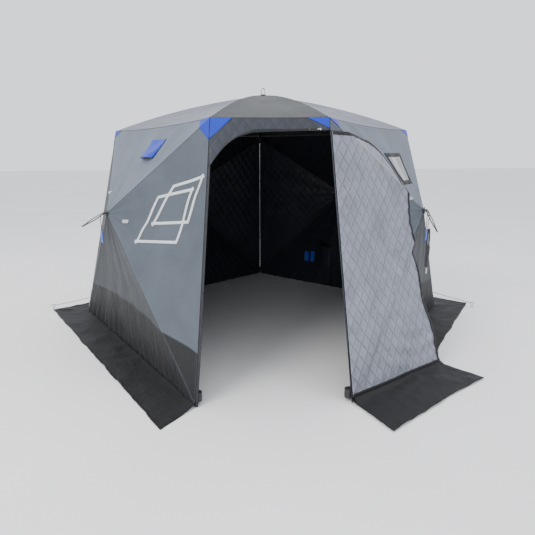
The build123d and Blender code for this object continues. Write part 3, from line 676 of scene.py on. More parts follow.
def grid_faces(columns, rows, start=0, closed=False):
    """Quads over a grid of points listed column by column within each row."""
    faces = []
    for j in range(rows - 1):
        for i in range(columns - (0 if closed else 1)):
            k = (i + 1) % columns
            a, b = start + j * columns + i, start + j * columns + k
            faces.append((a, b, b + columns, a + columns))
    return faces


def thicken(piece, thickness, offset=0.0, inside=None, rim=None):
    modifier = piece.modifiers.new("thickness", "SOLIDIFY")
    modifier.thickness = thickness
    modifier.offset = offset
    if inside is not None:
        modifier.material_offset = inside
        modifier.material_offset_rim = inside if rim is None else rim
    return modifier


def sheet_piece(name, place, columns, rows, material, thickness, cloth_size=None, offset=0.0,
        inside=None):
    """A thin piece from place(i / last column, j / last row), with the UV map cloth in metres."""
    points, cloth = [], []
    for j in range(rows):
        for i in range(columns):
            s, t = i / (columns - 1), j / (rows - 1)
            points.append(place(s, t))
            width, height = cloth_size or (1, 1)
            cloth.append((s * width, t * height))
    materials = [material] if inside is None else [material, inside]
    piece = make_mesh(name, points, grid_faces(columns, rows), materials, uvs={"cloth": cloth})
    if thickness:
        thicken(piece, thickness, offset, None if inside is None else 1)
    return piece


def strap(name, path, width_direction, width, thickness, material, closed=False):
    """Flat webbing along a path of points, of real width and thickness, with the UV map cloth."""
    points, cloth, run = [], [], 0.0
    for k, point in enumerate(path):
        if k:
            run += (path[k] - path[k - 1]).length
        side = width_direction if isinstance(width_direction, Vector) else width_direction(k)
        for j in range(5):
            shift = (j / 4 - 0.5) * width
            points.append(point + side * shift)
            cloth.append((shift, run))
    faces = grid_faces(5, len(path))
    if closed:
        last = (len(path) - 1) * 5
        faces += [(last + j, last + j + 1, j + 1, j) for j in range(4)]
    piece = make_mesh(name, points, faces, [material], uvs={"cloth": cloth})
    thicken(piece, thickness)
    bevel = piece.modifiers.new("edge", "BEVEL")
    bevel.width = thickness * 0.3
    bevel.segments = 2
    return piece


def tube(name, points, radius, material, order=3, resolution=12):
    """A round cord as a NURBS curve that its control points guide."""
    curve = bpy.data.curves.new(name, "CURVE")
    curve.dimensions = "3D"
    curve.bevel_depth = radius
    curve.bevel_resolution = 4
    curve.resolution_u = resolution
    curve.use_fill_caps = True
    spline = curve.splines.new("NURBS")
    spline.points.add(len(points) - 1)
    for control, point in zip(spline.points, points):
        control.co = (*point, 1.0)
    spline.order_u = order
    spline.use_endpoint_u = True
    curve.materials.append(material)
    piece = bpy.data.objects.new(name, curve)
    bpy.context.scene.collection.objects.link(piece)
    return piece


def curve_length(points):
    return sum((b - a).length for a, b in zip(points, points[1:]))


def along(points, share):
    """The point at a share of a polyline's length."""
    target = curve_length(points) * share
    for a, b in zip(points, points[1:]):
        step = (b - a).length
        if target <= step:
            return mix(a, b, target / step if step else 0)
        target -= step
    return points[-1].copy()


def smooth_curve(points, steps=14):
    """Catmull-Rom points through the given ones."""
    made = []
    padded = [points[0] * 2 - points[1]] + list(points) + [points[-1] * 2 - points[-2]]
    for k in range(1, len(padded) - 2):
        p0, p1, p2, p3 = padded[k - 1 : k + 3]
        for step in range(steps):
            t = step / steps
            made.append(
                (p1 * 2 + (p2 - p0) * t + (p0 * 2 - p1 * 5 + p2 * 4 - p3) * t * t
                 + (p1 * 3 - p0 - p2 * 3 + p3) * t * t * t) * 0.5
            )
    made.append(points[-1].copy())
    return made


# --- walls -------------------------------------------------------------------------------------------

EAVE_PULL = 0.018
EAVE_DROP = 0.016
FACET_SAG = [0.030, 0.022, 0.026, 0.022]
BOTTOM, TOP = 0, 2


def eave_shift(start, end, share):
    """How far a roof edge is pulled in and down between two corners, where the cloth hangs free."""
    length = (end - start).length
    bow = 4 * share * (1 - share) * (length / 1.85) ** 2
    middle = (start + end) / 2
    out = Vector((middle.x, middle.y, 0)).normalized()
    return -out * (EAVE_PULL * bow) - UP * (EAVE_DROP * bow)


class Side:
    def __init__(self, name, start, end):
        self.name, self.start, self.end = name, start, end
        foot, head = (base[start] + base[end]) / 2, (eave[start] + eave[end]) / 2
        self.u = (base[end] - base[start]).normalized()
        self.v = (head - foot).normalized()
        self.w = self.u.cross(self.v).normalized()
        self.centre = mix(foot, head, HUB_SHARE)
        self.peak = self.centre + self.w * BULGE
        self.foot, self.slope = foot, (head - foot).length
        ring = [base[start], base[end], eave[end], eave[start]]
        self.corners = [self.flat(p) for p in ring]

    def flat(self, point):
        arm = point - self.centre
        return Vector((arm.dot(self.u), arm.dot(self.v)))

    def height_over(self, point):
        return (point - self.centre).dot(self.w)

    def at(self, x, y, w=0.0):
        return self.centre + self.u * x + self.v * y + self.w * w

    def facet(self, x, y):
        """(facet number, share across it, nearness to the hub) for a place on the wall, or None off it."""
        for k in range(4):
            p, q = self.corners[k], self.corners[(k + 1) % 4]
            det = p.x * q.y - p.y * q.x
            a = (x * q.y - y * q.x) / det
            b = (p.x * y - p.y * x) / det
            if a >= -1e-6 and b >= -1e-6 and a + b <= 1 + 1e-6:
                return k, (b / (a + b) if a + b > 1e-9 else 0.5), 1 - a - b
        return None

    def skin(self, x, y, lift=0.0):
        """A point on the cloth's outer face: ridges along the rods, sagging and creased between them."""
        found = self.facet(x, y)
        if found is None:
            x, y = x * 0.999, y * 0.999
            found = self.facet(x, y) or (BOTTOM, 0.5, 0.0)
        k, across, near = found
        across, near = min(max(across, 0.0), 1.0), min(max(near, 0.0), 1.0)
        arch = 4 * across * (1 - across)
        sag = FACET_SAG[k] * arch ** 0.85 * (near * (1 - near) * 4) ** 0.8
        seed = 3.1 * len(self.name) + 7 * k
        free = arch ** 0.5 * ease(0.0, 0.10, near) * ease(1.0, 0.93, near)
        radial = sin(across * pi * 9 + 2.2 * ripple(x, y, 2.4, seed)) * (0.0022 + 0.0035
            * (1 - near) ** 2)
        soft = ripple(x, y, 3.1, seed) * 0.009 + ripple(x, y, 8.0, seed + 5) * 0.0038
        w = BULGE * near + CLOTH - sag + (radial + soft) * free + lift
        point = self.at(x, y, w)
        if k == TOP:
            point += eave_shift(eave[self.end], eave[self.start], across) * (1 - near) ** 2
        if k == BOTTOM:
            hang = (1 - near) ** 6 * arch
            gather = sin(across * 118 + 3 * ripple(across * 9, 0, 1, seed)) * 0.005 * ease(0.70, 0.98, 1
                - near)
            point += self.w * (gather * min(1.0, arch * 4) - 0.012 * hang)
        return point


sides = {name: Side(name, *ends) for name, ends in WALLS.items()}
front = Side("front", "front_left", "front_right")

PER_EDGE = 76
RINGS = 60


def wall_cloth(side, facet_materials):
    """One wall as a continuous sheet from its edges to its hub, lined inside."""
    points, cloth, seam, faces, slots = [], [], [], [], []
    columns = PER_EDGE * 4
    for ring in range(RINGS):
        near = ring / RINGS
        for column in range(columns):
            k, step = divmod(column, PER_EDGE)
            share = step / PER_EDGE
            a, b = side.corners[k], side.corners[(k + 1) % 4]
            edge = mix(a, b, share)
            x, y = edge.x * (1 - near), edge.y * (1 - near)
            points.append(side.skin(x, y))
            cloth.append((x, y))
            gaps = [abs(x * c.y - y * c.x) / c.length for c in (a, b)]
            edge_run = (b - a).length
            gaps.append(abs((x - a.x) * (b.y - a.y) - (y - a.y) * (b.x - a.x)) / edge_run)
            run = share * edge_run if gaps[2] == min(gaps) else (1 - near) * a.length
            seam.append((min(gaps), run))
    faces = grid_faces(columns, RINGS, closed=True)
    slots = [(index % columns) // PER_EDGE for index in range(len(faces))]
    points.append(side.skin(0, 0))
    cloth.append((0, 0))
    seam.append((0, 0))
    last = (RINGS - 1) * columns
    for column in range(columns):
        faces.append((last + column, last + (column + 1) % columns, len(points) - 1))
        slots.append(column // PER_EDGE)
    piece = make_mesh(
        f"fabric_{side.name}", points, faces, [*facet_materials,
            cloths["lining"]], slots, {"cloth": cloth, "seam": seam}
    )
    thicken(piece, CLOTH, -1.0, 4)
    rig.ride(piece, "shell")
    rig.replaces(piece, f"wall_{side.name}")
    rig.slot(piece, "shell_fabric")
    area = 0.5 * (side.corners[1].x - side.corners[0].x + side.corners[2].x
        - side.corners[3].x) * side.slope
    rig.sheet(piece, flat=(2.55, 2.0), held="stretched", rests_on=[f"hub_{side.name}"], area=area * 1.05)
    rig.squash(piece, f"hub_{side.name}_push", axis=side.w, anchor=side.centre, keep=HUB_KEEP)
    return piece


# Bottom, side, top and side facet of each wall. Their tones are painted light and shade for the way each facet faces:
# lit on top, half shaded at the sides, and shaded at the foot and on the left front wall's side towards the left
# corner. The black band along the foot is the cloth's own.
WALL_COLOURS = {
    "left_front": ("shaded_band", "half_shaded_band", "light", "shaded_band"),
    "left_back": ("shaded_band", "half_shaded_band", "light", "half_shaded_band"),
    "right_back": ("shaded_band", "half_shaded_band", "light", "half_shaded_band"),
    "right_front": ("shaded_band", "half_shaded_band", "light", "half_shaded_band"),
}
for name, side in sides.items():
    wall_cloth(side, [cloths[colour] for colour in WALL_COLOURS[name]])


def sewn_on(piece, wall_name, body="shell", slot=None, replaced=()):
    """Fixes a piece to a wall's cloth, so that it flattens with the wall."""
    side = sides[wall_name]
    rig.ride(piece, body)
    if replaced:
        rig.replaces(piece, *replaced)
    if slot:
        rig.slot(piece, slot)
    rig.squash(piece, f"hub_{wall_name}_push", axis=side.w, anchor=side.centre, keep=HUB_KEEP)
    return piece


def wall_patch(name, side, corners, material, lift, thickness, columns=16, rows=16):
    """A four-cornered piece of cloth lying on a wall. Corners are (U, V) pairs in order round it."""
    a, b, c, d = [Vector(p) for p in corners]

    def place(s, t):
        flat = mix(mix(a, b, s), mix(d, c, s), t)
        return side.skin(flat.x, flat.y, lift)

    size = ((b - a).length, (d - a).length)
    return sheet_piece(name, place, columns, rows, material, thickness, size, 1.0)


# --- roof --------------------------------------------------------------------------------------------

ROOF_BOW = 0.042
ROOF_SAG = 0.034
ROOF_COLUMNS = 44
ROOF_ROWS = 46
ROOF_COLOURS = {"front_right": "roof_light", "right": "roof_light", "back": "roof_dark",
    "left": "roof_light",
                "front_left": "roof_dark"}


def roof_point(start, end, share, rise):
    """share runs from one corner to the next, and rise from the eave to the peak."""
    edge = mix(eave[start], eave[end], share)
    length = (eave[end] - eave[start]).length
    flat = edge * (1 - rise)
    arch = 4 * share * (1 - share)
    height = mix(EAVE_HEIGHT, PEAK_HEIGHT, rise) + ROOF_BOW * 4 * rise * (1 - rise)
    seed = CORNER_ANGLES[start]
    sag = ROOF_SAG * arch ** 0.8 * (4 * rise * (1 - rise)) ** 0.7 * min(1, length / 1.4)
    soft = ripple(flat.x, flat.y, 3.0, seed) * 0.010 + ripple(flat.x, flat.y, 7.5, seed + 3) * 0.004
    folds = sin(share * pi * 7 + 2 * ripple(flat.x, flat.y, 2.0, seed)) * 0.003 * (1 - rise)
    free = arch ** 0.5 * ease(0, 0.12, rise) * ease(1, 0.9, rise)
    point = Vector((flat.x, flat.y, height + CLOTH - sag + (soft + folds) * free))
    return point + eave_shift(eave[start], eave[end], share) * (1 - rise) ** 2


def roof_cloth():
    names = list(CORNER_ANGLES)
    points, cloth, seam, faces, slots = [], [], [], [], []
    colours = sorted(set(ROOF_COLOURS.values()))
    for name, other in zip(names, names[1:] + names[:1]):
        start = len(points)
        length = (eave[other] - eave[name]).length
        for row in range(ROOF_ROWS):
            rise = row / (ROOF_ROWS - 1)
            for column in range(ROOF_COLUMNS):
                share = column / (ROOF_COLUMNS - 1)
                points.append(roof_point(name, other, share, rise))
                x = (share - 0.5) * length * (1 - rise)
                run = rise * EAVE_RADIUS
                cloth.append((x + 3.7 * len(name), run))
                gap = (0.5 * length * (1 - rise) - abs(x)) * 0.85
                seam.append((min(gap, run), run if gap < run else x))
        made = grid_faces(ROOF_COLUMNS, ROOF_ROWS, start)
        faces += made
        slots += [colours.index(ROOF_COLOURS[name])] * len(made)
    materials = [cloths[c] for c in colours] + [cloths["lining"]]
    piece = make_mesh("roof_canopy", points, faces, materials, slots, {"cloth": cloth, "seam": seam})
    weld = piece.modifiers.new("weld", "WELD")
    weld.merge_threshold = 0.0004
    thicken(piece, CLOTH, -1.0, len(colours))
    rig.ride(piece, "shell")
    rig.replaces(piece, "roof_fabric")
    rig.slot(piece, "roof_fabric")
    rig.sheet(piece, flat=(2.85, 2.8), held="stretched", rests_on=["hub_roof"], area=4.9)
    anchor = Vector((0, 0, EAVE_HEIGHT))
    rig.squash(piece, "hub_roof_push", axis=UP, anchor=anchor, keep=ROOF_KEEP)
    return piece


roof_cloth()

# --- doorway -----------------------------------------------------------------------------------------


def front_edge(v):
    """Half the doorway side's width at height V up its slope."""
    return mix(base["front_right"].x, eave["front_right"].x, v / front.slope)


def on_front(x, v, w=0.0):
    return front.foot + front.u * x + front.v * v + front.w * w


def doorway_curve(gap=0.0, foot=0.0):
    """Flat (x, v) points of the opening's edge, from the jamb's foot over the arch to the header's end."""
    arch = [Vector((-front_edge(JAMB_HEAD) + JAMB_STRIP + gap, JAMB_HEAD))]
    arch += [Vector((x + gap * 0.6, v - gap * 0.8)) for x, v in ARCH]
    arch.append(Vector((HEADER_START, HEADER_LOW - gap)))
    foot_point = Vector((-front_edge(foot) + JAMB_STRIP + gap, foot))
    end = Vector((front_edge(HEADER_HIGH) - max(gap, 0), HEADER_HIGH - gap))
    jamb = [mix(foot_point, arch[0], k / 40) for k in range(40)]
    header = [mix(arch[-1], end, k / 24) for k in range(1, 25)]
    return jamb, smooth_curve(arch, 9), header


HEADER_ROWS = 12


def surround_edge(k, count, top):
    """Where the header's cloth ends, for a step along the arch: up the corner, then along the roof's edge."""
    share = k / (count - 1)
    if share < 0.5:
        v = mix(JAMB_HEAD, top, share * 2)
        return Vector((-front_edge(v), v))
    return Vector((mix(-front_edge(top), HEADER_START, share * 2 - 1), top))


def surround_cloth(name, inner, outer, flat_size, area):
    """Cloth between the opening's edge and the side's own edge, lined inside."""
    points, cloth, seam = [], [], []
    top = front.slope
    for row in range(HEADER_ROWS):
        t = row / (HEADER_ROWS - 1)
        for a, b in zip(inner, outer):
            flat = mix(a, b, t)
            wave = ripple(flat.x, flat.y, 6.0, 2) * 0.004 * sin(pi * t) + sin(pi * t) * 0.004
            point = on_front(flat.x, flat.y, CLOTH + wave * min(1, (b - a).length * 8))
            share = (flat.x / front_edge(top) + 1) / 2
            if flat.y > 1.6:
                near = (flat.y - 1.6) / (top - 1.6)
                point += eave_shift(eave["front_left"], eave["front_right"], share) * near ** 2
            points.append(point)
            cloth.append((flat.x, flat.y))
            seam.append((min(t, 1 - t) * (b - a).length + 0.001, flat.x))
    faces = [face[::-1] for face in grid_faces(len(inner), HEADER_ROWS)]
    uvs = {"cloth": cloth, "seam": seam}
    piece = make_mesh(name, points, faces, [cloths["header"], cloths["lining"]], uvs=uvs)
    thicken(piece, CLOTH, -1.0, 1)
    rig.ride(piece, "shell")
    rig.slot(piece, "shell_fabric")
    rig.sheet(piece, flat=flat_size, held="stretched", rests_on=["upper_fittings", "foot_fittings"],
        area=area)
    return piece


def front_surround():
    """The cloth beside and over the doorway. Returns the line of the opening's edge."""
    jamb, arch, header = doorway_curve()
    top = front.slope
    beside = [Vector((-front_edge(p.y), p.y)) for p in jamb + arch[:1]]
    over = [surround_edge(k, len(arch), top) for k in range(len(arch))]
    for p in header:
        share = (p.x - HEADER_START) / (header[-1].x - HEADER_START)
        over.append(Vector((mix(HEADER_START, front_edge(top), share), top)))
    surround_cloth("front_jamb", jamb + arch[:1], beside, (JAMB_STRIP, JAMB_HEAD), JAMB_STRIP * JAMB_HEAD)
    head = surround_cloth("front_header", arch + header, over, (0.80, 0.32), 0.112)
    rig.replaces(head, "front_surround")
    return jamb + arch + header


opening = front_surround()


def front_strip(name, line, shift_in, width, lift, material, thickness):
    """A band of cloth along the opening's edge, a little in from it."""
    points, cloth, run = [], [], 0.0
    for k, p in enumerate(line):
        before, after = line[max(k - 1, 0)], line[min(k + 1, len(line) - 1)]
        direction = (after - before).normalized()
        side = Vector((-direction.y, direction.x))
        run += (p - before).length
        for j in range(4):
            flat = p + side * (shift_in + width * j / 3)
            points.append(on_front(flat.x, flat.y, lift + 0.001 * sin(pi * j / 3)))
            cloth.append((width * j / 3, run))
    piece = make_mesh(name, points, grid_faces(4, len(line)), [material], uvs={"cloth": cloth})
    thicken(piece, thickness)
    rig.ride(piece, "shell")
    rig.slot(piece, "shell_fabric")
    return piece


front_strip("doorway_binding", opening, -0.002, 0.020, 0.0035, cloths["binding"], 0.0035)

hinge_foot = on_front(front_edge(0), 0)
hinge_head = on_front(front_edge(HEADER_HIGH), HEADER_HIGH)
hinge_axis = (hinge_head - hinge_foot).normalized()
DOOR_SWING = next(j for j in frame["joints"] if j["name"] == "door_swing")
swing = Matrix.Rotation(radians(-DOOR_SWING["range_deg"][0]), 3, hinge_axis)
door_out = swing @ front.w
door_wall = sides["right_front"]


def door_rest(x, v, off=0.0):
    """A place on the door, drawn shut as (x, v) on the doorway's slope, where it is with the door open."""
    arm = on_front(x, v, DOOR_MIDDLE) - hinge_foot
    return hinge_foot + swing @ arm + door_out * off


DOOR_TOP = HEADER_HIGH
LEAN_TOP = 0.16
PUFF_PITCH = 0.118
PUFF = 0.009


def door_lean(across, up, x, v):
    """How far the slack door hangs back from its flat plane, towards the shelter's wall."""
    lean = LEAN_TOP * across ** 1.25 * up ** 0.9
    fold = (up - (1.0 - 0.26 * across)) * DOOR_TOP
    crease = 0.30 * max(0.0, fold) * ease(0.05, 0.5, across)
    ridge = -0.016 * exp(-((fold / 0.045) ** 2)) * ease(0.02, 0.25, across)
    slack = 0.020 * sin(across * pi) * sin(up * pi * 1.3) + 0.012 * ripple(across * 2.2, up * 4.2, 1.0, 4)
    low = sin(up * 78 + 5 * ripple(across * 2, up * 3, 1, 9)) * 0.007 * exp(-(((up - 0.13) / 0.09) ** 2))
    edge = 0.010 * sin(up * 21 + 1.2) * across ** 4
    tremor = 0.004 * ripple(x, v, 9.0, 12)
    held = ease(0.0, 0.12, across)
    return lean + crease + (ridge + slack + low * across + edge + tremor) * held


def clear_of_wall(point, across):
    """Moves a point of the door out of the wall behind it."""
    flat = door_wall.flat(point)
    if door_wall.facet(flat.x, flat.y) is None:
        return point
    skin = door_wall.skin(flat.x, flat.y)
    margin = 0.002 + 0.016 * ease(0.0, 0.2, across)
    depth = door_wall.height_over(skin) + margin - door_wall.height_over(point)
    if depth <= 0:
        return point
    return point - door_out * (depth / abs(door_out.dot(door_wall.w)))


def quilt_puff(x, v):
    first = (x * 1.35 + v) / PUFF_PITCH
    second = (-x * 1.35 + v) / PUFF_PITCH
    height = 1.0
    for phase in (first, second):
        away = abs(phase - int(phase // 1) - 0.5)
        height *= sqrt(max(0.0, 0.5 - away) * 2)
    return PUFF * height


DOOR_COLUMNS = 96
DOOR_ROWS = 170


def door_grid():
    """Rows of (x, v, across, up) over the door's outline."""
    jamb, arch, header = doorway_curve(DOOR_GAP, DOOR_BOTTOM)
    top = (arch + header)[::-1]
    hinge_start = front_edge(DOOR_BOTTOM) - DOOR_GAP
    foot = (Vector((hinge_start, DOOR_BOTTOM)), Vector((jamb[0].x, DOOR_BOTTOM)))
    for row in range(DOOR_ROWS):
        up = row / (DOOR_ROWS - 1)
        for column in range(DOOR_COLUMNS):
            across = column / (DOOR_COLUMNS - 1)
            flat = mix(mix(*foot, across), along(top, across), up)
            yield flat.x, flat.y, across, up


def door_pieces():
    inner, outer, cloth, rim = [], [], [], []
    thickness = 0.007
    for x, v, across, up in door_grid():
        puff = quilt_puff(x, v) * min(1, 12 * across, 12 * (1 - across), 20 * up, 20 * (1 - up))
        lean = door_lean(across, up, x, v)
        back = clear_of_wall(door_rest(x, v, lean + thickness / 2), across)
        inner.append(back - door_out * (thickness + puff))
        outer.append(back)
        cloth.append((x, v))
        rim.append((across, up, back))
    count = len(inner)
    faces = [face[::-1] for face in grid_faces(DOOR_COLUMNS, DOOR_ROWS)]
    slots = [0] * len(faces)
    back_faces = grid_faces(DOOR_COLUMNS, DOOR_ROWS, count)
    border = list(range(DOOR_COLUMNS))
    border += [row * DOOR_COLUMNS + DOOR_COLUMNS - 1 for row in range(1, DOOR_ROWS)]
    border += [(DOOR_ROWS - 1) * DOOR_COLUMNS + column for column in range(DOOR_COLUMNS - 2, -1, -1)]
    border += [row * DOOR_COLUMNS for row in range(DOOR_ROWS - 2, 0, -1)]
    sides_faces = []
    for a, b in zip(border, border[1:] + border[:1]):
        sides_faces.append((a, b, b + count, a + count))
    slots += [1] * len(back_faces) + [2] * len(sides_faces)
    piece = make_mesh(
        "door_quilt",
        inner + outer,
        faces + back_faces + sides_faces,
        [cloths["silver"], cloths["door_back"], cloths["binding"]],
        slots,
        {"cloth": cloth * 2},
    )
    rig.ride(piece, "door")
    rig.replaces(piece, "door_panel")
    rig.slot(piece, "quilt")
    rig.padded(piece, 0.35)
    anchor = door_rest(0, 0.8)
    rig.squash(piece, "door_swing", axis=door_out, anchor=anchor, keep=0.06)
    return inner, border, anchor


door_face, door_border, door_anchor = door_pieces()


def door_edge_binding():
    """Black tape folded over the door's free edges: foot, free side and top."""
    band = 0.022
    line = door_border[: DOOR_COLUMNS * 2 + DOOR_ROWS - 2]
    points, cloth, run = [], [], 0.0
    for k, index in enumerate(line):
        row, column = divmod(index, DOOR_COLUMNS)
        point = door_face[index]
        into = Vector((0, 0, 0))
        if column == DOOR_COLUMNS - 1:
            into += door_face[row * DOOR_COLUMNS + column - 3] - point
        if row == 0:
            into += door_face[3 * DOOR_COLUMNS + column] - point
        if row == DOOR_ROWS - 1:
            into += door_face[(row - 3) * DOOR_COLUMNS + column] - point
        into = into.normalized()
        if k:
            run += (point - door_face[line[k - 1]]).length
        profile = [(band, -0.0030), (band * 0.9, -0.0045), (0.0, -0.0050), (-0.004, 0.001),
            (0.0, 0.0125), (band, 0.0105)]
        for inward, back in profile:
            points.append(point + into * inward + door_out * back)
            cloth.append((inward, run))
    faces = grid_faces(len(profile), len(line))
    piece = make_mesh("door_binding", points, faces, [cloths["binding"]], uvs={"cloth": cloth})
    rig.ride(piece, "door")
    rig.slot(piece, "skirt_fabric")
    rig.squash(piece, "door_swing", axis=door_out, anchor=door_anchor, keep=0.06)


door_edge_binding()

# --- skirts and apron --------------------------------------------------------------------------------


def lying(x, y, seed, height=0.007, near=0.0):
    """The height of slack cloth that lies on the ice."""
    folds = max(0.0, ripple(x, y, 5.0, seed)) * height * 2.2 + max(0.0,
        ripple(x, y, 14.0, seed + 4)) * height * 0.8
    return 0.0025 + folds * (1 - near)


def wall_skirt(side, seed):
    """One wall's apron, from the foot of the cloth out over the ice, mitred at the back corners."""
    out = Vector((side.w.x, side.w.y, 0)).normalized()
    ends = []
    for corner, sign in ((side.start, -1), (side.end, 1)):
        foot = Vector((base[corner].x, base[corner].y, 0))
        if corner in ("front_left", "front_right"):
            ends.append(foot + out * (SKIRT_WIDTH - 0.01) + side.u * (sign * 0.115))
        else:
            spoke = foot.normalized()
            ends.append(foot + spoke * ((SKIRT_WIDTH - 0.01) / spoke.dot(out)))
    near_edge = [Vector((base[c].x, base[c].y, 0)) - out * 0.004 for c in (side.start, side.end)]

    def place(s, t):
        flat = mix(mix(near_edge[0], near_edge[1], s), mix(ends[0], ends[1], s), t)
        wander = ripple(s * 14, 0, 1.0, seed) * 0.010 + ripple(s * 40, 0, 1.0, seed + 2) * 0.004
        flat = flat + out * (wander * t * min(1, 12 * s, 12 * (1 - s)))
        climb = 0.016 * (1 - t) ** 6
        return Vector((flat.x, flat.y, lying(flat.x, flat.y, seed) + climb + 0.010
            * max(0, ripple(s * 22, t, 1, seed + 7)) * (1 - t)))

    width = (base[side.end] - base[side.start]).length
    piece = sheet_piece(f"skirt_{side.name}", place, 130, 18, cloths["black"], 0.002,
        (width, SKIRT_WIDTH), 0.0)
    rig.ride(piece, "shell")
    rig.replaces(piece, "wall_skirts")
    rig.slot(piece, "skirt_fabric")
    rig.sheet(piece, flat=(width + 0.4, SKIRT_WIDTH + 0.01), held="laid", area=(width + 0.25)
        * SKIRT_WIDTH)

    def hem(s, t):
        flat = place(s, 1.0)
        return flat + Vector((0, 0, 0.0015)) - out * (0.016 * (1 - t))

    tape = sheet_piece(f"skirt_hem_{side.name}", hem, 130, 4, cloths["binding"], 0.002, (width, 0.016),
        0.0)
    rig.ride(tape, "shell")
    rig.slot(tape, "skirt_fabric")


for number, side in enumerate(sides.values()):
    wall_skirt(side, 11 + number * 5)

APRON_LEVEL = 0.0045


def door_apron():
    """The door's apron: sewn to its lower edge and spread on the ice in front of it."""
    foot_row = [door_face[column] for column in range(DOOR_COLUMNS)]
    near, far = foot_row[2], foot_row[-1]
    direction = Vector((far.x - near.x, far.y - near.y, 0)).normalized()
    out = Vector((direction.y, -direction.x, 0))

    def place(s, t):
        top = foot_row[min(int(s * (DOOR_COLUMNS - 1)), DOOR_COLUMNS - 1)] + Vector((0, 0, 0.004))
        reach = (0.335 + 0.04 * (1 - s) ** 3 + 0.012 * ripple(s * 6, 0, 1, 31)) * t
        fall = ease(0.0, 0.10, t)
        skew = (-0.07 * (1 - s) ** 2 + 0.03 * s) * t
        flat = Vector((top.x, top.y, 0)) + out * (0.006 + reach) + direction * skew
        lift = lying(flat.x, flat.y, 37, 0.008) + 0.004 + 0.012 * max(0,
            ripple(s * 9, t * 3, 1, 41)) * (1 - t)
        return Vector((flat.x, flat.y, mix(top.z, lift + APRON_LEVEL, fall)))

    piece = sheet_piece("apron_cloth", place, 90, 30, cloths["black"], 0.002, (0.95, 0.34), 0.0)
    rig.ride(piece, "apron")
    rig.replaces(piece, "door_apron")
    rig.slot(piece, "skirt_fabric")
    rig.sheet(piece, flat=(1.0, 0.40), held="laid", area=0.34)


door_apron()

# --- patches, window, vent and prints ----------------------------------------------------------------

PATCH_LEG = 0.140
PATCH_LIFT = 0.0022


def corner_patches():
    """Blue reinforcement at the top corners, on each wall that meets there and on the doorway's header."""
    for side in sides.values():
        bottom_left, bottom_right, top_right, top_left = side.corners
        for tag, tip, other, low in (("a", top_left, top_right, bottom_left),
                ("b", top_right, top_left, bottom_right)):
            eave_way, edge_way = (other - tip).normalized(), (low - tip).normalized()
            under_door = side.name == "right_front" and tag == "a"
            seam_way = (-tip).normalized()
            far = tip + edge_way * PATCH_LEG
            middle = tip + seam_way * PATCH_LEG * 0.74

            def place(s, t, tip=tip, e=tip + eave_way * PATCH_LEG, m=middle, f=far, skip=under_door):
                rim = mix(e, m, min(1, s * 2)) if s < 0.5 or skip else mix(m, f, s * 2 - 1)
                flat = mix(tip, rim, t)
                return side.skin(flat.x * 0.9995, flat.y * 0.9995, PATCH_LIFT)

            piece = sheet_piece(f"patch_{side.name}_{tag}", place, 29, 14, cloths["blue"], 0.0018,
                (0.2, 0.14))
            replaced = ("corner_patches",)
            sewn_on(piece, side.name, slot="accent_fabric", replaced=replaced)
    top = front.slope
    for tag, sign in (("a", -1), ("b", 1)):
        leg, drop = (PATCH_LEG, PATCH_LEG) if sign < 0 else (PATCH_LEG, (top - HEADER_HIGH) * 0.86)

        def place(s, t, sign=sign, leg=leg, drop=drop):
            start, end = Vector((sign * (front_edge(top) - leg), top)), Vector((sign
                * front_edge(top - drop), top - drop))
            rim = mix(start, end, s)
            flat = mix(Vector((sign * front_edge(top), top)), rim, t)
            share = (flat.x / front_edge(top) + 1) / 2
            near = max(0, (flat.y - 1.6) / (top - 1.6))
            shift = eave_shift(eave["front_left"], eave["front_right"], share) * near ** 2
            return on_front(flat.x, flat.y, CLOTH + 0.0075) + shift

        piece = sheet_piece(f"patch_header_{tag}", place, 16, 12, cloths["blue"], 0.002, (0.16, 0.14))
        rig.ride(piece, "shell")
        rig.slot(piece, "accent_fabric")


corner_patches()


def on_top_panel(side, x, down):
    """(U, V) on a wall for a place along the eave and down the top panel, from the eave's middle."""
    return (x, side.corners[2].y + down * cos_top)


top_fall = Vector((sides["right_front"].corners[2].y, BULGE))
cos_top = top_fall.x / top_fall.length

WINDOW = [(-0.060, -0.265), (0.300, -0.265), (0.165, -0.530), (-0.020, -0.530)]
HOOD = [(0.080, -0.120), (0.345, -0.120), (0.285, -0.290), (0.060, -0.290)]


def bordered(name, side_name, corners, border, inner_material, edge_material, lift):
    """A sewn-on panel with a binding round it: the panel, then four strips lapped over its edges."""
    side = sides[side_name]
    flat = [on_top_panel(side, *corner) for corner in corners]
    pane = wall_patch(name, side, flat, inner_material, lift, 0.0014, 24, 18)
    middle = sum((Vector(p) for p in flat), Vector((0, 0))) / 4
    for k in range(4):
        a, b = Vector(flat[k]), Vector(flat[(k + 1) % 4])
        run = (b - a).normalized()
        inward = Vector((-run.y, run.x))
        if inward.dot(middle - a) < 0:
            inward = -inward
        quad = [a - run * border * 0.5 - inward * border * 0.5, b + run * border * 0.5 - inward * border
            * 0.5,
                b - run * border * 0.4 + inward * border * 0.6,
                a + run * border * 0.4 + inward * border * 0.6]
        strip = wall_patch(f"{name}_binding_{k}", side, quad, edge_material, lift + 0.0022, 0.002, 26, 4)
        sewn_on(strip, side_name, slot="shell_fabric")
    return pane


window = bordered("window_film", "right_front", WINDOW, 0.030, film, cloths["binding"], 0.0016)
sewn_on(window, "right_front", slot="window_film", replaced=("window",))


